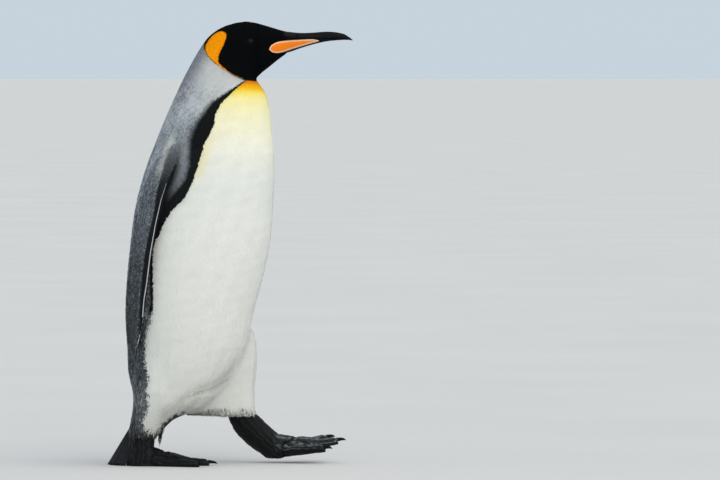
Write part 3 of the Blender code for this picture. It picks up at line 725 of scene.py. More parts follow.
def furrows(points):
    """Ridges along shanks and toes, 1 on a ridge, and how deep the points lie between two toes."""
    nearest = np.full(len(points), np.inf)
    second, ridge = nearest.copy(), np.zeros(len(points))
    wobble = 0.9 * waves(points * (0.45, 1.0, 1.0), 0.018, 5)
    wobble = wobble + 0.3 * waves(points * (0.4, 1.0, 1.0), 0.007, 6)
    for start, end, half, ridges in foot_lines():
        along = np.array(end) - start
        length = np.linalg.norm(along)
        aim = along / length
        part = np.clip((points - start) @ aim / length, 0.0, 1.0)
        away = points - start - along * part[:, None]
        side = unit(np.cross(aim, (0.0, 0.0, 1.0)))
        turn = np.arctan2(away @ np.cross(side, aim), away @ side)
        gap = np.linalg.norm(away, axis=1) / half
        closer = gap < nearest
        second = np.where(closer, nearest, np.minimum(second, gap))
        ridge = np.where(closer, 0.5 + 0.5 * np.cos(ridges * turn + wobble), ridge)
        nearest = np.minimum(nearest, gap)
    return ridge, step(0.42, 0.05, second - nearest)


def foot_wrinkles(points):
    """Depth of the furrows along the bare skin, of the folds across it, and between the toes."""
    ridge, parting = furrows(points)
    across = np.abs(waves(points * (1.0, 0.4, 1.0), 0.0060, 7))
    depth = 0.0001 + 0.0011 * (1 - ridge) + 0.0004 * across + 0.0024 * parting
    return depth * step(0.001, 0.006, points[:, 2])


def foot_colour(points):
    """Black with painted highlights along the ridges, strongest on top of the swung foot's toes."""
    x, z = side_view(points)
    ridge, parting = furrows(points)
    toes = step(0.082, 0.104, x) * step(0.020, 0.034, z - 0.10 * (x - 0.10))
    shank = step(-0.06, -0.02, x)
    # painted highlight along the ridges: faint on the standing foot, fainter on the swung shank, strong on
    # the swung foot's toe tops, none between the toes
    light = (0.08 - 0.06 * shank + 0.96 * toes) * (0.16 * toes + step(0.50, 1.0, ridge)) * (1 - parting)
    light = light * (0.75 + 0.35 * waves(points, 0.010, 8))
    return mix(np.broadcast_to(FOOT_BLACK, points.shape), FOOT_GLINT, np.clip(light, 0, 1))


# ---------------------------------------------------------------- markings

def paint(points, kinds, normals):
    """Plumage colour at each place."""
    x, z = side_view(points)
    torn = 1 + 0.8 * step(0.33, 0.26, z)
    ragged = (0.0006 * waves(points, 0.011, 21) + 0.0006 * waves(points, 0.005, 22)) * torn
    front = x - edge_x(WHITE_EDGE, z) + ragged * step(0.76, 0.70, z)
    colour = mix(paint_back(points, x, z), paint_belly(points, x, z, front), step(-0.0007, 0.0007, front))
    soft = edge_x(STRIPE_SOFTNESS, z)
    stripe = step(0.0, 1.0, (x - edge_x(STRIPE_EDGE, z) + ragged + soft) / (soft + 0.0020))
    colour = mix(colour, STRIPE, stripe * (front < 0) * step(0.30, 0.315, z))
    rise = z - DARK_TUFT_AT[1]
    aside = x - DARK_TUFT_AT[0] - DARK_TUFT_SLANT * rise
    tuft = np.hypot(aside / DARK_TUFT_SIZE[0], rise / DARK_TUFT_SIZE[1]) + 0.2 * waves(points, 0.008, 26)
    colour = mix(colour, DARK_TUFT, step(1.1, 0.8, tuft))
    # painted shade in the cleft before the flipper's root
    colour = mix(colour, FLIPPER_SHADE_BLACK, cleft_share(x, z))
    colour = paint_head(colour, x, z, (kinds == "head") | (kinds == "neck"))
    return paint_flippers(colour, points, normals, kinds)


def paint_back(points, x, z):
    """Slate of the back, silvery on the side of the neck and dark again down the nape, with painted shade on
    the flank by the flipper's root.
    """
    light = step(-0.10, 0.00, x + 0.55 * (z - 0.75)) * step(0.60, 0.78, z)
    nape = step(0.045, 0.004, x - edge_x(NAPE_LINE, z)) * step(0.68, 0.76, z)
    back = mix(mix(ramp(BACK, z), NECK_LIGHT, light), NAPE, nape)
    mottle = step(0.80, 0.70, z) * step(0.26, 0.34, z) + 0.5 * step(0.34, 0.26, z)
    back *= (1 + 0.14 * mottle * waves(points, 0.05, 23) + 0.12 * mottle * waves(points, 0.012, 24))[:, None]
    # painted shade on the flank: in the cleft by the flipper's root, and beside its front edge at the
    # shoulder
    shade_by_cleft = step(0.016, 0.003, x - edge_x(CLEFT_LINE, z)) * step(0.50, 0.54, z) * step(0.612, 0.590, z)
    root = step(0.011, -0.001, x - edge_x(LEADING_LINE, z)) * step(0.578, 0.605, z) * step(0.660, 0.625, z)
    flank = ramp(FLANK, z) * ((1 - 0.75 * shade_by_cleft) * (1 - 0.5 * root))[:, None]
    return mix(back, flank, flank_share(x, z))


def cleft_share(x, z):
    """1 where the cleft in front of a flipper's root is painted black as shade, wider downwards."""
    across = np.abs(x - edge_x(CLEFT_LINE, z)) / edge_x(CLEFT_HALF, z)
    return step(1.0, 0.35, across) * step(0.48, 0.52, z) * step(0.611, 0.600, z)


def flank_share(x, z):
    """1 on the dark smooth flank between flipper and stripe, 0 elsewhere."""
    behind = x - edge_x(RIDGE_LINE, z)
    return step(0.715, 0.645, z) * step(0.24, 0.30, z) * step(-0.002, 0.012, behind)


def paint_belly(points, x, z, front):
    """White of belly and breast, yellow towards the throat and beside the stripe, with painted shade along
    the folds and under the belly.
    """
    warm = step(0.030, 0.0, front) * step(0.55, 0.60, z) * step(0.70, 0.64, z)
    belly = mix(ramp(BELLY, z), BREAST_WARM, 0.75 * warm)
    belly = mix(belly, FOLD_SHADE, 0.55 * crease_depth(points) / FOLD_DEPTH)
    high = 0.119 + 0.022 * step(-0.05, -0.09, x)
    hem = step(high, 0.101, z + 0.004 * waves(points * (1, 1, 0.3), 0.006, 27)) * step(0.0, -0.03, x)
    belly = mix(belly, HEM_SHADE, 0.55 * hem * step(-0.150, -0.125, x))
    return belly * (1 + 0.015 * waves(points, 0.03, 25))[:, None]


def paint_head(colour, x, z, upper):
    """The black hood and the orange ear patch, on head and neck alone."""
    hood, ear = outline_distance(HOOD, x, z), outline_distance(rounded(EAR_PATCH, 3), x, z)
    colour = mix(colour, BLACK, np.where(upper, step(0.0008, -0.0008, hood), 0.0))
    orange = mix(np.broadcast_to(EAR_ORANGE, colour.shape), EAR_TAN, step(0.800, 0.784, z))
    return mix(colour, orange, np.where(upper, step(0.0007, -0.0009, ear), 0.0))


def paint_flippers(colour, points, normals, kinds):
    """Slate outside, a painted highlight along the ridge, a black band before it that is partly painted
    shade, and white below; a painted highlight over the shoulder.
    """
    place = upright(points)
    x, z = place[:, 0], place[:, 2]
    ridge = x - edge_x(RIDGE_LINE, z)
    # painted highlight on the lit shoulder, over flipper and body alike
    lit_shoulder = np.exp(-((ridge + 0.004) / 0.0070) ** 2) * step(0.565, 0.600, z) * step(0.672, 0.645, z)
    lit_shoulder = 0.9 * lit_shoulder * (kinds != "head")
    colour = mix(colour, SHOULDER_HIGHLIGHT, lit_shoulder)
    arm = kinds == "flipper"
    if not arm.any():
        return colour
    flipper = ramp(FLIPPER_SLATE, z)
    flipper *= (1 + 0.16 * waves(points, 0.008, 31) + 0.12 * waves(points, 0.025, 32))[:, None]
    # the dark band before the ridge: the flipper's own dark edge and painted shade together
    flipper = mix(flipper, ramp(FLIPPER_BAND, z), step(-0.001, 0.0040, ridge) * step(0.668, 0.640, z))
    # painted shade just in front of the ridge near the shoulder, where the flipper turns from the light
    shade = step(0.000, 0.002, ridge) * step(0.009, 0.004, ridge) * step(0.630, 0.610, z)
    flipper = mix(flipper, FLIPPER_SHADE_BLACK, 0.75 * shade)
    # painted highlight along the ridge, where the flipper turns towards the light
    flipper = mix(flipper, RIDGE_HIGHLIGHT, 0.6 * np.exp(-(ridge / 0.0020) ** 2))
    flipper = mix(mix(flipper, SHOULDER_HIGHLIGHT, lit_shoulder), FLIPPER_SHADE_BLACK, cleft_share(x, z))
    inner = step(-0.35, -0.60, normals[:, 1] * np.sign(place[:, 1]))
    ahead, behind = edge_x(LEADING_LINE, z) - x, x - edge_x(TRAILING_LINE, z)
    inside = step(0.006, 0.010, behind) * step(0.004, 0.007, ahead)
    flipper = mix(flipper, FLIPPER_WHITE, inner * inside * step(0.25, 0.28, z))
    return np.where(arm[:, None], flipper, colour)


# ---------------------------------------------------------------- coat

def sparseness():
    """Factor for the distance between feathers: 1."""
    return 1.0


def surface_points(points, normals, quads, spacing, rng):
    """Random points spread over a surface, more where the spacing is small.

    Places, normals, spacing, corners of the triangle and shares of those corners.
    """
    triangles = np.concatenate([quads[:, [0, 1, 2]], quads[:, [0, 2, 3]]])
    a, b, c = (points[triangles[:, i]] for i in range(3))
    area = np.linalg.norm(np.cross(b - a, c - a), axis=1) / 2
    gap = spacing[triangles[:, 0]]
    wanted = area / gap ** 2 * CANDIDATES
    total = int(wanted.sum())
    chosen = rng.choice(len(triangles), total, p=wanted / wanted.sum())
    u, v = rng.random((2, total))
    flip = u + v > 1
    u, v = np.where(flip, 1 - u, u), np.where(flip, 1 - v, v)
    corner = triangles[chosen]
    share = np.stack([1 - u - v, u, v], -1)[:, :, None]
    place = (points[corner] * share).sum(1)
    normal = unit((normals[corner] * share).sum(1))
    return place, normal, spacing[corner[:, 0]], corner, share


def thinned(place, gap):
    """Numbers of the points that are kept, so that each keeps its distance from the others."""
    tree = KDTree(len(place))
    rows = place.tolist()
    for i, row in enumerate(rows):
        tree.insert(row, i)
    tree.balance()
    gone = bytearray(len(rows))
    kept = []
    for i, reach in enumerate(gap.tolist()):
        if gone[i]:
            continue
        kept.append(i)
        for _, j, _ in tree.find_range(rows[i], reach):
            gone[j] = 1
    return np.array(kept)


def vane_faces(rows):
    """Faces of one vane: top quads, top triangles, bottom quads, bottom triangles."""
    tip, last = 3 * rows, 3 * rows - 3
    steps = range(0, last, 3)
    top = [quad for n in steps for quad in ([n, n + 1, n + 4, n + 3], [n + 1, n + 2, n + 5, n + 4])]
    bottom = [[n + 2, n, n + 3, n + 5] for n in steps]
    ends = [[last, last + 1, tip], [last + 1, last + 2, tip]]
    under = [[last + 2, last, tip], [0, 2, 1]]
    return [np.array(part) for part in (top, ends, bottom, under)]


def vanes(root, tip, normal, tip_normal, width, height, shape, roll, ridge):
    """Vertices of many vanes as one array: for each, rows of left, middle and right, then the tip."""
    aim = unit(tip - root)
    rows = []
    for along, wide in shape:
        level = unit(normal * (1 - along) + tip_normal * along)
        side = unit(np.cross(aim, level))
        side = unit(side * np.cos(roll)[:, None] + level * np.sin(roll)[:, None])
        rise = height * (along ** 0.75 - 0.25 * (1 - along))
        centre = root + (tip - root) * along + level * rise[:, None]
        reach = side * (width * wide / 2)[:, None]
        lift = level * (width * ridge * wide)[:, None]
        rows += [centre - reach - lift * 0.5, centre + lift, centre + reach - lift * 0.5]
    rows.append(tip + tip_normal * (height * 0.96)[:, None])
    return np.stack(rows, 1)


def bake_places(points, axis):
    """Turn and height of points about a line, stretched to fill the unit square inside a margin."""
    low, high = np.array(axis)
    line = unit(high - low)
    front = unit(np.cross(np.cross(line, (0.9, 0.1, 0.42)), line))
    away = points - low
    turn = np.arctan2(away @ np.cross(line, front), away @ front) / math.tau + 0.5
    places = np.stack([turn, (away @ line) / np.linalg.norm(high - low)], -1)
    least, most = places.min(0), places.max(0)
    return PATCH_MARGIN + (1 - 2 * PATCH_MARGIN) * (places - least) / np.maximum(most - least, 1e-6)


def rows_of(shape):
    """Share of the length at each vertex of a vane but its tip, row after row."""
    return [along for along, _ in shape for _ in range(3)]


def coat_piece(name, verts, shape, colours, places, facing=None):
    """One mesh of many vanes with colours and bake patches."""
    count, each = verts.shape[:2]
    start = (np.arange(count) * each)[:, None, None]
    faces = [(part[None] + start).reshape(-1, part.shape[1]) for part in vane_faces(len(shape))]
    across = [-0.5, 0.0, 0.5] * len(shape) + [0.0]
    offset = np.stack([across, np.array(rows_of(shape) + [1.0]) - 0.5], -1) * PATCH
    patches = (places[:, None] + offset[None]).reshape(-1, 2)
    if facing is not None:
        facing = facing.reshape(-1, 3)
    mesh = mesh_from(name, verts.reshape(-1, 3), faces, (2, 3), colours.reshape(-1, 3), patches, facing)
    return new_object(name, mesh)


def loose_vanes(name, roots, tips, normals, width, colours, places, shape=FINE, sink=0.0):
    """Small pointed vanes of one colour each: feathers that hang free of the skin, or scales."""
    none = np.zeros(len(roots))
    height, ridge = (none + value for value in THIN_VANE)
    verts = vanes(roots, tips, normals, normals, width + none, height, shape, none, ridge)
    verts = verts - normals[:, None] * sink
    verts[..., 2] = np.maximum(verts[..., 2], 0.0)
    colours = np.repeat(np.broadcast_to(colours, roots.shape)[:, None], verts.shape[1], 1)
    return coat_piece(name, verts, shape, colours, places)


def silky_facing(normal, tip_normal, silky, shape):
    """Shading normals of vanes that lie smooth: the skin's own, and zero for the rest."""
    rows = [unit(normal * (1 - along) + tip_normal * along) for along in rows_of(shape)]
    return np.stack([*rows, tip_normal], 1) * silky[:, None, None]


class Coat:
    """All feathers over the plumed skin, as arrays with one row for each feather."""

    def __init__(self, skin):
        points, normals, quads, kinds, depth, gap, facing = skin
        self.rng = np.random.default_rng(SEED)
        found = surface_points(points, normals, quads, feather_spacing(points, kinds, gap), self.rng)
        kept = thinned(found[0], found[2])
        kept = kept[~bare_places(found[0][kept])]
        self.root, self.normal, self.gap, corner, share = (part[kept] for part in found)
        self.kind, self.depth = kinds[corner[:, 0]], depth[corner[:, 0]]
        self.facing = unit((facing[corner] * share).sum(1))
        self.tree = BVHTree.FromPolygons(points.tolist(), quads.tolist())
        self.lay(facing[quads].mean(1))

    def lay(self, quad_facing):
        """Direction, length, tips and colours."""
        rng, count = self.rng, len(self.root)
        self.silk = silkiness(self.root)
        rough = 1 - 0.8 * self.silk
        aim = lie_field(upright(self.root))
        aim = unit(aim - self.normal * (aim * self.normal).sum(1, keepdims=True))
        side = np.cross(aim, self.normal)
        stray = np.radians((rng.normal(0, 6.0, count) + 8.0 * waves(self.root, 0.03, 41)) * rough)
        aim = aim * np.cos(stray)[:, None] + side * np.sin(stray)[:, None]
        length = self.gap * by_kind(self.kind, VANE_LENGTH) * (1 + 0.2 * self.silk)
        length *= rng.uniform(0.85, 1.15, count)
        self.width = self.gap * by_kind(self.kind, VANE_WIDTH) * rng.uniform(0.9, 1.1, count)
        self.height = self.depth * (1 - rng.uniform(0.0, 0.25, count) * rough)
        self.roll = np.radians(rng.normal(0, 5.0, count)) * rough
        self.ridge = 0.03 + 0.09 * rough
        hits = [self.tree.find_nearest(point) for point in (self.root + aim * length[:, None]).tolist()]
        self.tip = np.array([hit[0] for hit in hits])
        self.tip_normal = np.array([hit[1] for hit in hits])
        self.tip_facing = unit(quad_facing[[hit[2] for hit in hits]])
        middle = (self.root + self.tip) / 2 + self.normal * self.height[:, None]
        middle[:, 0] += rng.normal(0, 1.0, count) * (0.0004 + 0.0016 * step(0.34, 0.28, middle[:, 2]))
        self.colour = paint(middle, self.kind, self.normal)
        x, z = side_view(middle)
        self.calm = np.maximum(self.silk, 0.55 * step(0.56, 0.64, z))
        self.calm = np.maximum(self.calm, 0.8 * flank_share(x, z) * step(0.44, 0.52, z))

    def piece(self, name, chosen, shape, axis):
        """The coat piece of the chosen feathers."""
        def pick(*keys):
            return [getattr(self, key)[chosen] for key in keys]

        form = pick("root", "tip", "normal", "tip_normal", "width", "height")
        verts = vanes(*form, shape, *pick("roll", "ridge"))
        colours = vane_colours(*pick("colour", "calm"), self.rng, shape)
        silk, facing, tip_facing = pick("silk", "facing", "tip_facing")
        silky = silk > self.rng.uniform(0.15, 0.85, len(silk))
        facing = silky_facing(facing, tip_facing, silky, shape) if silky.any() else None
        return coat_piece(name, verts, shape, colours, bake_places(self.root[chosen], axis), facing)


def feather_spacing(points, kinds, gap):
    """Distance between feather roots at each skin vertex, smaller along crisp markings."""
    x, z = side_view(points)
    gap = np.where(kinds == "head", gap * (1.25 - 0.55 * step(-0.03, 0.10, x)), gap)
    body = (kinds == "trunk") | (kinds == "leg")
    gap = np.where(body, gap * (1 - 0.18 * np.maximum(silkiness(points), step(0.62, 0.70, z))), gap)
    edge = np.minimum(np.abs(x - edge_x(WHITE_EDGE, z)), np.abs(x - edge_x(STRIPE_EDGE, z)) + 0.004)
    gap = np.where(kinds != "flipper", gap * (1 - (1 - EDGE_SPACING) * np.exp(-(edge / 0.006) ** 2)), gap)
    gap = np.where(body, gap * (1 - 0.35 * flank_share(x, z) * step(0.50, 0.54, z)), gap)
    patch = np.minimum(np.abs(outline_distance(HOOD, x, z)), np.abs(outline_distance(EAR_PATCH, x, z)))
    upper = (kinds == "head") | (kinds == "neck")
    gap = np.where(upper, gap * (1 - (1 - EDGE_SPACING) * np.exp(-(patch / 0.004) ** 2)), gap)
    return gap * sparseness()


def bare_places(root):
    """Where no feather grows: in the eye sockets, behind the plates and under the bill."""
    place = upright(root)
    eye = np.linalg.norm(place - np.array(EYE) * np.where(place[:, 1:2] < 0, (1, -1, 1), 1), axis=1)
    plate = outline_distance(PLATE, place[:, 0], place[:, 2])
    behind = (plate < 0.0003) & (np.abs(place[:, 1]) > 0.004)
    return (eye < EYE_BARE) | behind | (place[:, 0] > BILL_ROOT - 0.0015)


def vane_colours(colour, calm, rng, shape):
    """Colours down each vane: all a little darker at the root as painted shade, and slate ones dark at the
    root and frosted at the tip.
    """
    bright = colour.mean(1)
    deep = step(0.030, 0.012, bright)
    contrast = step(0.60, 0.30, bright) * (1 - deep) * (1 - calm)
    spread = 0.015 + UNEVEN * contrast + 0.06 * deep
    own = np.exp(rng.normal(0, 1.0, len(colour)) * spread - 0.10 * contrast)
    rows = []
    for along in rows_of(shape) + [1.0]:
        tip, root = FROST * step(0.55, 1.0, along), ROOT_SHADE * (1 - along)
        # the 0.05 is painted shade on every vane's root, which lies under its neighbours
        shade = 1 - 0.05 * (1 - along) + contrast * (tip - root)
        rows.append(colour * (own * shade)[:, None])
    return np.stack(rows, 1)


def make_ankle_fringe(coat, side):
    """Loose feathers that hang over the top of the bare lower leg."""
    middle, reach, rise, lengths = ANKLES[side]
    rng = np.random.default_rng(SEED + 5)
    away = upright(coat.root) - np.array(middle)
    near = (np.hypot(away[:, 0] / reach[0], away[:, 1] / reach[1]) < 1) & (away[:, 2] < rise)
    index = np.repeat(np.flatnonzero(near & (coat.kind == "leg")), FRINGE_REPEATS)
    count, normal, away = len(index), coat.normal[index], away[index]
    roots = coat.root[index] + rng.normal(0, FRINGE_SPREAD, (count, 3)) + normal * 0.0008
    flat = np.abs(normal[:, 2:3])
    inward = -unit(away * (0.4, 1, 0)) * (0.10 + 0.75 * flat)
    aim = unit(np.array((0, 0, -1.0)) * (1.15 - flat) + inward + rng.normal(0, FRINGE_STRAY, (count, 3)))
    tips = roots + aim * rng.uniform(*lengths, count)[:, None]
    colours = coat.colour[index] * np.exp(rng.normal(0, 0.05, count))[:, None]
    dark = rng.random(count) < FRINGE_DARK_SHARE
    colours = np.where(dark[:, None], FRINGE_DARK, colours)
    places = bake_places(roots, (np.array(middle) - (0, 0, 0.02), np.array(middle) + (0, 0, 0.02)))
    normals = unit(normal * (1, 1, 0.2) + away * (4, 4, 0))
    return loose_vanes("fringe_ankle_" + side, roots, tips, normals, FRINGE_WIDTH, colours, places)


def seen_from(tree, start, sign):
    """Where a level ray from one side meets a surface, and the surface's normal there."""
    return tree.ray_cast(Vector(start), Vector((0, -sign, 0)))[:2]


def make_rim(side, sign, skin_tree):
    """The thin pale rim along the front edge of a flipper, as small overlapping feathers."""
    heights = np.arange(RIM_FROM, RIM_TO, RIM_STEP)

    def on_edge(level):
        start = leaned((edge_x(LEADING_LINE, level) - 0.0014, sign * 0.25, level))
        hit, normal = seen_from(skin_tree, start, sign)
        return np.array(hit) + (0, sign * 0.0011, 0), np.array(normal)

    roots, normals = map(np.array, zip(*map(on_edge, heights)))
    tips = np.array([on_edge(z - RIM_LENGTH)[0] for z in heights])
    return loose_vanes("coat_rim_" + side, roots, tips, unit(normals), np.interp(heights, *RIM_WIDTHS),
                       FLIPPER_RIM, bake_places(roots, FLIPPER_AXES[side]))


def make_strand():
    """Thin dark feathers trailing down in front of the standing leg."""
    rng = np.random.default_rng(SEED + 6)
    share = rng.uniform(0.0, 0.55, STRAND_FEATHERS)[:, None]
    top, end = np.array(STRAND_TOP), np.array(STRAND_END)
    spread = rng.normal(0, 1.0, (STRAND_FEATHERS, 3)) * STRAND_SPREAD
    roots = leaned(top + (end - top) * share + spread)
    tips = leaned(top + (end - top) * (share + rng.uniform(0.3, 0.45, share.shape)) + spread * 0.6)
    normals = np.broadcast_to((0.8, -0.6, 0.0), roots.shape)
    places = bake_places(roots, (end, top))
    return loose_vanes("fringe_strand", roots, tips, normals, STRAND_WIDTH, DARK_TUFT, places)


def make_bill_feathers():
    """Tiny black feathers that thin out over the root of the upper bill."""
    rng = np.random.default_rng(SEED + 7)
    count = BILL_FEATHERS
    roots, normals = [], []
    for _ in range(count):
        x = BILL_FEATHERS_FROM + BILL_FEATHERS_LENGTH * rng.random() ** 1.6
        turn = math.pi * rng.uniform(0.04, 0.96)
        _, top, gape, _, half = between(BILL_SECTIONS, x)
        roots.append((x, half * math.cos(turn), gape + 0.001 + (top - gape - 0.001) * math.sin(turn)))
        normals.append((0.1, math.cos(turn), 1.2 * math.sin(turn)))
    roots = np.array(roots)
    tips = roots + np.array((-0.0028, 0.0, -0.0002)) * rng.uniform(0.7, 1.2, (count, 1))
    roots, tips = leaned(roots), leaned(tips)
    return loose_vanes("coat_bill_root", roots, tips, unit(np.array(normals)), BILL_FEATHER_WIDTH, BLACK,
                       bake_places(roots, BILL_AXIS))


# ---------------------------------------------------------------- bill, plates, eyes, claws

def bill_ring(x, flat, far, half, groove):
    """One section of half a bill: flat along the gape, a rounded back, a groove along the side."""
    ring = []
    for angle in (math.pi * i / 21 for i in range(22)):
        wide = math.copysign(abs(math.cos(angle)) ** 0.82, math.cos(angle))
        dent = 1 - groove * math.exp(-((math.sin(angle) - 0.55) / 0.16) ** 2)
        ring.append((x, half * wide * dent, flat + (far - flat) * math.sin(angle) ** 0.9))
    return ring + [(x, -half + 2 * half * i / 5, flat) for i in range(1, 5)]


def make_bill():
    """Upper and lower bill as slender curved horn."""
    upper, lower = [], []
    for x in np.concatenate([np.linspace(BILL_BACK, 0.230, BILL_ROWS), np.linspace(0.233, 0.2459, 12)]):
        _, top, gape, _, half = between(BILL_SECTIONS, x)
        groove = 0.16 * step(0.130, 0.145, x) * step(0.205, 0.180, x)
        upper.append(bill_ring(x, gape + 0.00015, max(top, gape + 0.0008), half, groove))
    for x in np.linspace(BILL_BACK, LOWER_BILL_END, BILL_ROWS):
        _, _, gape, bottom, half = between(BILL_SECTIONS, x)
        slim = 0.92 - 0.3 * ((x - BILL_BACK) / (LOWER_BILL_END - BILL_BACK)) ** 3
        lower.append(bill_ring(x, gape + 0.0003, min(bottom, gape - 0.0009), half * slim, 0.05))
    lower = np.array(lower)
    under_plate = step(0.0018, 0.0006, outline_distance(PLATE, lower[..., 0], lower[..., 2]))
    lower[..., 1] *= 1 - BILL_SLIMMER * under_plate
    return solid_piece("bill_upper_horn", leaned(upper)), solid_piece("bill_lower_horn", leaned(lower))


def solid_piece(name, rings, colours=None):
    """A closed solid through rings of points, as an object."""
    return new_object(name, face_out(tube(name, rings, colours)))


def make_plate(side, sign):
    """The orange plate: a smooth shield let into face and bill."""
    tree, _ = owner_tree(["bill_plate_" + side, "head", "bill_lower"])
    rows, columns = PLATE_ROWS, PLATE_COLUMNS
    outer = []
    for i in range(rows):
        part = 0.5 - 0.5 * math.cos(math.pi * i / (rows - 1))
        x = PLATE_FROM + (PLATE_TO - PLATE_FROM) * part
        high, low = (np.interp(x, *zip(*line)) for line in (PLATE_TOP, PLATE_LOW))
        for j in range(columns):
            across = -math.cos(math.pi * j / (columns - 1))
            start = leaned((x, sign * 0.07, (high + low) / 2 + (high - low) / 2 * across))
            hit, _ = seen_from(tree, start, sign)
            edge = max(abs(across) ** 8, abs(2 * part - 1) ** 24)
            outer.append((hit.x, hit.y + sign * (PLATE_RAISE - PLATE_SINK * edge), hit.z))
    outer = smooth_grid(np.array(outer).reshape(rows, columns, 3), 3).reshape(-1, 3)
    points = np.concatenate([outer, outer - np.array((0, sign * PLATE_DEEP, 0))])
    faces = grid_faces(rows, columns, False)
    back = faces[:, ::-1] + rows * columns
    faces = np.concatenate([faces, back, border_faces(rows, columns, rows * columns)])
    name = "plate_" + side
    mesh = mesh_from(name, points, [faces], colours=np.tile(plate_colour(outer), (2, 1)))
    return new_object(name, face_out(mesh))


def plate_colour(points):
    """Orange with a thin peach rim, pinker towards the tip, and black horn around it."""
    x, z = side_view(points)
    inside = outline_distance(rounded(ORANGE, 4), x, z)
    tone = mix(np.broadcast_to(PLATE_ORANGE, points.shape), PLATE_PINK, step(0.145, 0.178, x))
    tone = mix(tone, PLATE_RIM, 0.9 * step(-0.0036, -0.0010, inside))
    return mix(tone, HORN_BLACK, step(-0.0004, 0.0006, inside))


def smooth_grid(grid, rounds):
    """A grid of points smoothed inside its border."""
    for _ in range(rounds):
        inner = (grid[:-2, 1:-1] + grid[2:, 1:-1] + grid[1:-1, :-2] + grid[1:-1, 2:]) / 4
        grid[1:-1, 1:-1, 1] = inner[..., 1]
    return grid


def border_faces(rows, columns, count):
    """Quads that join a grid's border to the same border count vertices on."""
    ring = [(0, j) for j in range(columns)] + [(i, columns - 1) for i in range(1, rows)]
    ring += [(rows - 1, j) for j in range(columns - 2, -1, -1)] + [(i, 0) for i in range(rows - 2, 0, -1)]
    order = np.array([i * columns + j for i, j in ring])
    following = np.roll(order, -1)
    return np.stack([order, order + count, following + count, following], -1)


def make_eye(side, sign):
    """A dark eye with iris, pupil and a slightly bulging cornea."""
    axis = unit(np.array(EYE_AIM) * (1, sign, 1))
    up = unit(np.cross(np.cross(axis, (0, 0, 1)), axis))
    across = np.cross(axis, up)
    centre = leaned(np.array(EYE) * (1, sign, 1))
    turn = np.linspace(0, math.tau, EYE_SIDES, endpoint=False)
    around_axis = up * np.cos(turn)[:, None] + across * np.sin(turn)[:, None]
    fleck = 0.75 + 0.25 * np.sin(turn * 9 + 3 * np.sin(turn * 4))
    rings, tones = [], []
    for polar in np.concatenate([np.linspace(0.02, 0.9, 22), np.linspace(1.0, 3.1, 16)]):
        bulge = EYE_RADIUS * (1 + 0.05 * math.exp(-(polar / 0.5) ** 2))
        rings.append(centre + axis * (bulge * math.cos(polar)) + around_axis * (bulge * math.sin(polar)))
        iris = fleck[:, None] * IRIS * step(0.24, 0.29, polar)
        tones.append(mix(iris, EYE_RING, np.full(EYE_SIDES, step(0.62, 0.70, polar))))
    return solid_piece("eyeball_" + side, np.array(rings), np.array(tones))


def make_lids(side, sign, skin_tree):
    """Thin dark lids round the eye, from the eyeball out under the feathers."""
    axis = np.array((0.0, float(sign), 0.0))
    centre = leaned(np.array(EYE) * (1, sign, 1))
    turn = np.linspace(0, math.tau, LID_SIDES, endpoint=False)
    wide = LID_WIDE + LID_CORNER * np.abs(np.cos(turn)) ** 3
    radius = np.hypot(wide * np.cos(turn), LID_HIGH * np.sin(turn))
    radius *= 1 - 0.10 * np.maximum(np.sin(turn), 0) ** 2
    out = np.stack([np.cos(turn), np.zeros(LID_SIDES), np.sin(turn)], -1)
    edge = centre + out * LID_REACH
    base = np.array([seen_from(skin_tree, (x, sign * 0.2, z), sign)[0].y for x, _, z in edge]) - centre[1]
    rows, tones = [], []
    for reach, over, share in LID_ROWS:
        away = np.full(LID_SIDES, LID_REACH) if reach is None else radius + reach
        ball = np.sqrt(np.maximum(EYE_RADIUS ** 2 - np.minimum(away, EYE_RADIUS) ** 2, 0)) * sign
        level = ball * (1 - share) + base * share
        wrinkle = 0.00012 * np.sin(turn * 3) * (share > 0.1)
        rows.append(centre + out * away[:, None] + axis * (level * sign + over + wrinkle)[:, None])
        tones.append(np.broadcast_to(np.array(LID_COLOUR) * (1.6 if over > 0.0007 else 0.8), (LID_SIDES, 3)))
    points, tones = np.array(rows), np.array(tones)
    shell = np.concatenate([points, points[::-1] - axis * LID_THICKNESS])
    last, ring = (len(shell) - 1) * LID_SIDES, np.arange(LID_SIDES)
    following = (ring + 1) % LID_SIDES
    join = np.stack([ring + last, following + last, following, ring], -1)
    faces = np.concatenate([grid_faces(len(shell), LID_SIDES, True), join])
    colours = np.concatenate([tones, tones[::-1]]).reshape(-1, 3)
    name = "lids_" + side
    return new_object(name, face_out(mesh_from(name, shell.reshape(-1, 3), [faces], colours=colours)))


def make_claw(node):
    """A curved claw, finer than its solid: same root, tip and girth."""
    points = solid_points(node)
    centre = points.mean(0)
    _, _, axes = np.linalg.svd(points - centre)
    long = axes[0] * math.copysign(1.0, axes[0][0])
    side = unit(np.cross(long, (0, 0, 1)))
    up = np.cross(side, long)
    sections = claw_sections(points, (points - centre) @ long)
    sections.insert(0, (sections[0][0] - long * NAIL_ROOT, sections[0][1]))
    turn = np.linspace(0, math.tau, NAIL_SIDES, endpoint=False)
    keel = 1 + 0.12 * np.cos(turn) ** 8
    rings = []
    for place in np.linspace(0, len(sections) - 1, NAIL_RINGS):
        row = between([(i, *middle, *size) for i, (middle, size) in enumerate(sections)], place)
        wide, high = side * (row[4] * np.sin(turn))[:, None], up * (row[5] * np.cos(turn) * keel)[:, None]
        rings.append(row[1:4] + wide + high)
    return solid_piece(node.replace("claw", "nail"), np.array(rings))


def claw_sections(points, along):
    """Middle and half sizes of a claw solid's five rings, from root to tip."""
    sections = []
    for group in np.array_split(np.argsort(along), 5):
        high, low = points[group].max(0), points[group].min(0)
        sections.append(((high + low) / 2, np.maximum((high - low) / 2, 0.0004)[1:]))
    return sections


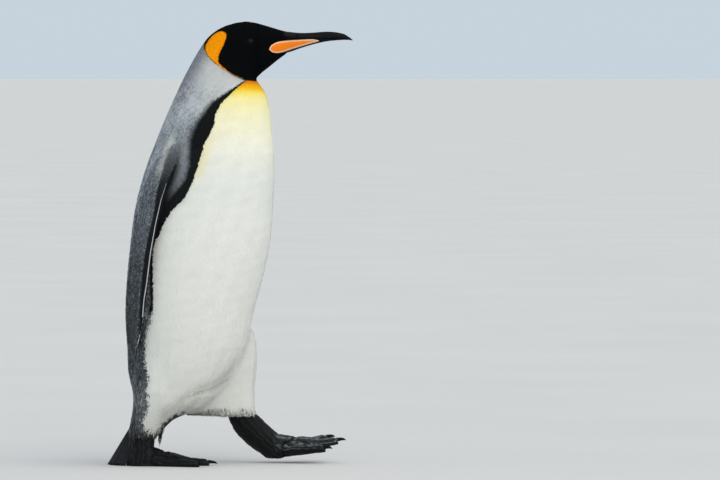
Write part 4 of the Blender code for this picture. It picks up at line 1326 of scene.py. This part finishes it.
# ---------------------------------------------------------------- tail and feet

def tail_place(across, down, lift):
    """A point on the roof-shaped tail: across -1 to 1, down 0 to 1, lift towards the back."""
    root, tip, side_root, side_tip = map(np.array, (TAIL_ROOT, TAIL_TIP, TAIL_SIDE_ROOT, TAIL_SIDE_TIP))
    centre = root + (tip - root) * down
    edge = side_root + (side_tip - side_root) * down
    x = centre[0] + (edge[0] - centre[0]) * across ** 2 - lift
    z = centre[2] + (edge[2] - centre[2]) * across ** 2
    return np.array((x, edge[1] * across, z))


def tail_feather(across, length, layer):
    """One stiff feather as a closed blade with a raised shaft: rings of points."""
    rings = []
    for part in np.linspace(0.0, 1.0, 19):
        down = part * length
        wide = 0.120 * (0.55 + 0.45 * step(0.0, 0.35, part)) * (1 - step(0.90, 1.03, part)) + 0.010
        top, low = [], []
        for share in np.linspace(-1, 1, 9):
            shaft = 0.0009 * math.exp(-(share / 0.16) ** 2) * (1 - 0.6 * part)
            arch = -0.0008 * share ** 2
            point = tail_place(across + share * wide, down, layer + arch)
            top.append(point - (shaft + 0.0003, 0, 0))
            low.append(point + (0.0003, 0, 0))
        rings.append(top + low[::-1])
    return leaned(np.array(rings))


def make_tail():
    """The fan of stiff tail feathers, the middle ones longest and on top."""
    meshes = []
    for layer, count in ((0.0016, TAIL_FEATHERS), (-0.0004, TAIL_FEATHERS - 1)):
        for i in range(count):
            across = -TAIL_SPREAD + 2 * TAIL_SPREAD * i / (count - 1)
            rise = layer + 0.0011 * (1 - abs(across)) + 0.0005 * (i % 2)
            rings = tail_feather(across, 1 - 0.006 * (i % 2), rise)
            rings[..., 2] = np.maximum(rings[..., 2], 0.0002)
            meshes.append(face_out(tube("vane", rings, tail_tones(rings, i))))
    form = bmesh.new()
    for mesh in meshes:
        form.from_mesh(mesh)
    return new_object("tail_feathers", mesh_of(form, "tail_feathers"))


def tail_tones(rings, number):
    """Black, paler towards the tips."""
    rows, columns = rings.shape[:2]
    part = np.linspace(0, 1, rows)[:, None]
    base = 0.008 + 0.008 * part ** 2 + 0.004 * math.sin(number * 2.3)
    return np.broadcast_to(base, (rows, columns))[..., None] * np.array((1.0, 1.05, 1.15))


def make_foot_scales(foot_skin):
    """Small horny scales over the bare skin, larger on top of the toes."""
    points, normals, quads = foot_skin
    rng = np.random.default_rng(SEED + 2)
    gap = np.where(normals[:, 2] > 0.2, FOOT_SPACING[1], FOOT_SPACING[0]) * sparseness()
    found = surface_points(points, normals, quads, gap, rng)[:3]
    kept = thinned(found[0], found[2])
    kept = kept[(found[0][kept, 2] > 0.0016) & (found[1][kept, 2] > -0.75)]
    root, normal, spacing = (part[kept] for part in found)
    aim = np.where((root[:, 2] > 0.045)[:, None], (0.25, 0.0, -1.0), (1.0, 0.0, -0.1))
    aim = unit(aim - normal * (aim * normal).sum(1, keepdims=True))
    half = aim * (spacing * rng.uniform(1.15, 1.45, len(root)) * 0.5)[:, None]
    width = spacing * rng.uniform(0.95, 1.25, len(root))
    # scales take the foot's colour with its painted highlight
    tone = foot_colour(root) * np.exp(rng.normal(0, 0.22, len(root)))[:, None]
    return loose_vanes("foot_scales", root - half, root + half, normal, width, tone,
                       bake_places(root, FOOT_AXIS), SCALE_SHAPE, SCALE_SINK)


# ---------------------------------------------------------------- materials

def add_node(tree, kind, inputs, **settings):
    """A shader node with its inputs set to values or linked to the outputs of other nodes."""
    made = tree.nodes.new("ShaderNode" + kind)
    for key, value in settings.items():
        setattr(made, key, value)
    for name, value in inputs.items():
        if isinstance(value, bpy.types.NodeSocket):
            tree.links.new(value, made.inputs[name])
        else:
            made.inputs[name].default_value = value
    return made


def marked_colour(tree, texture, low, high):
    """The mesh's own markings, darkened and lightened by a texture."""
    markings = add_node(tree, "VertexColor", {}, layer_name="coat")
    spread = add_node(tree, "MapRange", {"From Min": 0.3, "From Max": 0.7, "To Min": low, "To Max": high,
                                         "Value": texture})
    inputs = {"Vector": markings.outputs["Color"], "Scale": spread.outputs["Result"]}
    return add_node(tree, "VectorMath", inputs, operation="SCALE").outputs["Vector"]


def streaked_colour(tree, texture, dark, pale):
    """A colour between two tones, by a texture."""
    tones = add_node(tree, "ValToRGB", {"Fac": texture})
    for element, position, colour in zip(tones.color_ramp.elements, (0.30, 0.70), (dark, pale)):
        element.position, element.color = position, (*colour, 1.0)
    return tones.outputs["Color"]


@cache
def material(name):
    """A finish from the tables, made when it is first asked for: colour, gloss and fine relief."""
    made = bpy.data.materials.new(name)
    made.use_nodes = True
    tree = made.node_tree
    marked = name in MARKED
    roughness, specular, scale, low, high, relief = (MARKED if marked else STREAKED)[name]
    detail, stretch, depth = NOISE_KINDS["marked" if marked else "floor" if name == "pale_floor" else "horn"]
    shader = tree.nodes["Principled BSDF"]
    shader.inputs["Roughness"].default_value = roughness
    shader.inputs["Specular IOR Level"].default_value = specular
    place = add_node(tree, "TexCoord", {})
    mapping = add_node(tree, "Mapping", {"Scale": stretch, "Vector": place.outputs["Object"]})
    inputs = {"Scale": scale, "Detail": detail, "Vector": mapping.outputs["Vector"]}
    texture = add_node(tree, "TexNoise", inputs).outputs["Fac"]
    colour = (marked_colour if marked else streaked_colour)(tree, texture, low, high)
    tree.links.new(colour, shader.inputs["Base Color"])
    if depth:
        bump = add_node(tree, "Bump", {"Strength": relief, "Distance": depth, "Height": texture})
        tree.links.new(bump.outputs["Normal"], shader.inputs["Normal"])
    return made


def dress(piece, finish, replaced=()):
    """Give a piece its material and body, and hide the solids it replaces."""
    piece.data.materials.clear()
    piece.data.materials.append(material(finish))
    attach(piece, "root")
    if replaced:
        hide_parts(*replaced)


# ---------------------------------------------------------------- stage

def aimed(name, data, direction, track):
    """An object turned so that its axis track points along a direction."""
    made = new_object(name, data)
    made.rotation_mode = "QUATERNION"
    made.rotation_quaternion = Vector(direction).to_track_quat(track, "Y")
    return made


def make_camera():
    """Level side view from far off, a little above the shoulder."""
    data = bpy.data.cameras.new("camera")
    data.sensor_width, data.lens = 36.0, LENS
    data.clip_start, data.clip_end = 1.0, 2.0 * FLOOR_END
    camera = aimed("camera", data, Vector(CAMERA_AIM) - Vector(CAMERA_AT), "-Z")
    camera.location = CAMERA_AT
    bpy.context.scene.camera = camera


def make_stage():
    """Pale floor to the horizon, an even pale sky and a very broad sun behind thin cloud."""
    corners = [(-FLOOR_HALF, FLOOR_START, 0), (FLOOR_HALF, FLOOR_START, 0),
               (FLOOR_HALF, FLOOR_END, 0), (-FLOOR_HALF, FLOOR_END, 0)]
    mesh = mesh_from("floor", np.array(corners, float), [np.array([[0, 1, 2, 3]])])
    mesh.materials.append(material("pale_floor"))
    floor = new_object("floor", mesh)
    world = bpy.data.worlds.new("soft_sky")
    world.use_nodes = True
    sky = world.node_tree.nodes["Background"]
    sky.inputs["Color"].default_value = (*SKY, 1.0)
    sky.inputs["Strength"].default_value = 1.0
    bpy.context.scene.world = world
    light = bpy.data.lights.new("sun", "SUN")
    light.angle, light.energy, light.color = math.radians(SUN_SPREAD), SUN_STRENGTH, SUN_COLOUR
    aimed("sun", light, SUN_FROM, "Z")
    bpy.context.scene.view_settings.view_transform = "Standard"


# ---------------------------------------------------------------- the bird

def make_skin_object(skin, foot_skin):
    """One skin object: feathered body with its markings, bare lower legs and feet."""
    points, normals, quads, kinds = skin[:4]
    foot_points, _, foot_quads = foot_skin
    colours = paint(points, kinds, normals)
    # painted shade: the skin that shows between the feathers is darkened
    dark, light = SKIN_SHADE
    colours *= dark + (light - dark) * step(0.30, 0.55, colours.mean(1))[:, None]
    mesh = mesh_from("skin", np.concatenate([points, foot_points]),
                     [np.concatenate([quads, foot_quads + len(points)])],
                     colours=np.concatenate([colours, foot_colour(foot_points) * 0.7]))
    dress(new_object("skin", mesh), "feathered_skin", (*BODY_NODES, *FOOT_NODES))
    mesh.materials.append(material("foot_leather"))
    which = np.zeros(len(mesh.polygons), np.int32)
    which[len(quads):] = 1
    mesh.polygons.foreach_set("material_index", which)


def make_coat(skin):
    """All coat pieces, by part of the body and by colour."""
    coat = Coat(skin)
    place = upright(coat.root)
    left, upper = place[:, 1] > 0, place[:, 2] > UPPER
    pale = coat.colour.mean(1) > PALE

    def add(name, chosen, shape, axis, finish):
        dress(coat.piece(name, chosen, shape, axis), finish)

    for (side, sign), chosen in zip(SIDES, (left, ~left)):
        for part, level in (("upper", upper), ("lower", ~upper)):
            body = (coat.kind == "trunk") & chosen & level
            add(f"coat_white_{part}_{side}", body & pale, FINE, SPINE, "plumage_white")
            add(f"coat_slate_{part}_{side}", body & ~pale, BROAD, SPINE, "plumage_slate")
        arm, leg, head = ((coat.kind == kind) & chosen for kind in ("flipper", "leg", "head"))
        add("coat_flipper_" + side, arm, FINE, FLIPPER_AXES[side], "plumage_slate")
        add("coat_leg_" + side, leg, FINE, LEG_AXES[side], "plumage_white")
        dress(make_ankle_fringe(coat, side), "plumage_white")
        dress(make_rim(side, sign, coat.tree), "plumage_white")
        add("coat_head_" + side, head, FINE, HEAD_AXIS, "plumage_velvet")
    add("coat_neck", coat.kind == "neck", BROAD, SPINE, "plumage_white")
    dress(make_strand(), "plumage_velvet")
    dress(make_bill_feathers(), "plumage_velvet")
    return coat


def make_face(skin_tree):
    """Bill, plates, eyes and lids."""
    for piece, node in zip(make_bill(), ("bill_upper", "bill_lower")):
        dress(piece, "bill_horn", (node,))
    for side, sign in SIDES:
        dress(make_plate(side, sign), "bill_plate", ("bill_plate_" + side,))
        dress(make_eye(side, sign), "eye", ("eye_" + side,))
        dress(make_lids(side, sign, skin_tree), "eyelid")


def make_limbs_and_tail(foot_skin):
    """Claws, tail feathers and the scales of the feet."""
    for node in [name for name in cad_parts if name.startswith("claw_")]:
        dress(make_claw(node), "claw_horn", (node,))
    dress(make_tail(), "tail_vanes", ("tail",))
    dress(make_foot_scales(foot_skin), "foot_scale")


def main():
    """Build everything."""
    make_camera()
    make_stage()
    skin, foot_skin = make_plumed_skin(), make_foot_skin()
    make_skin_object(skin, foot_skin)
    coat = make_coat(skin)
    make_face(coat.tree)
    make_limbs_and_tail(foot_skin)


main()
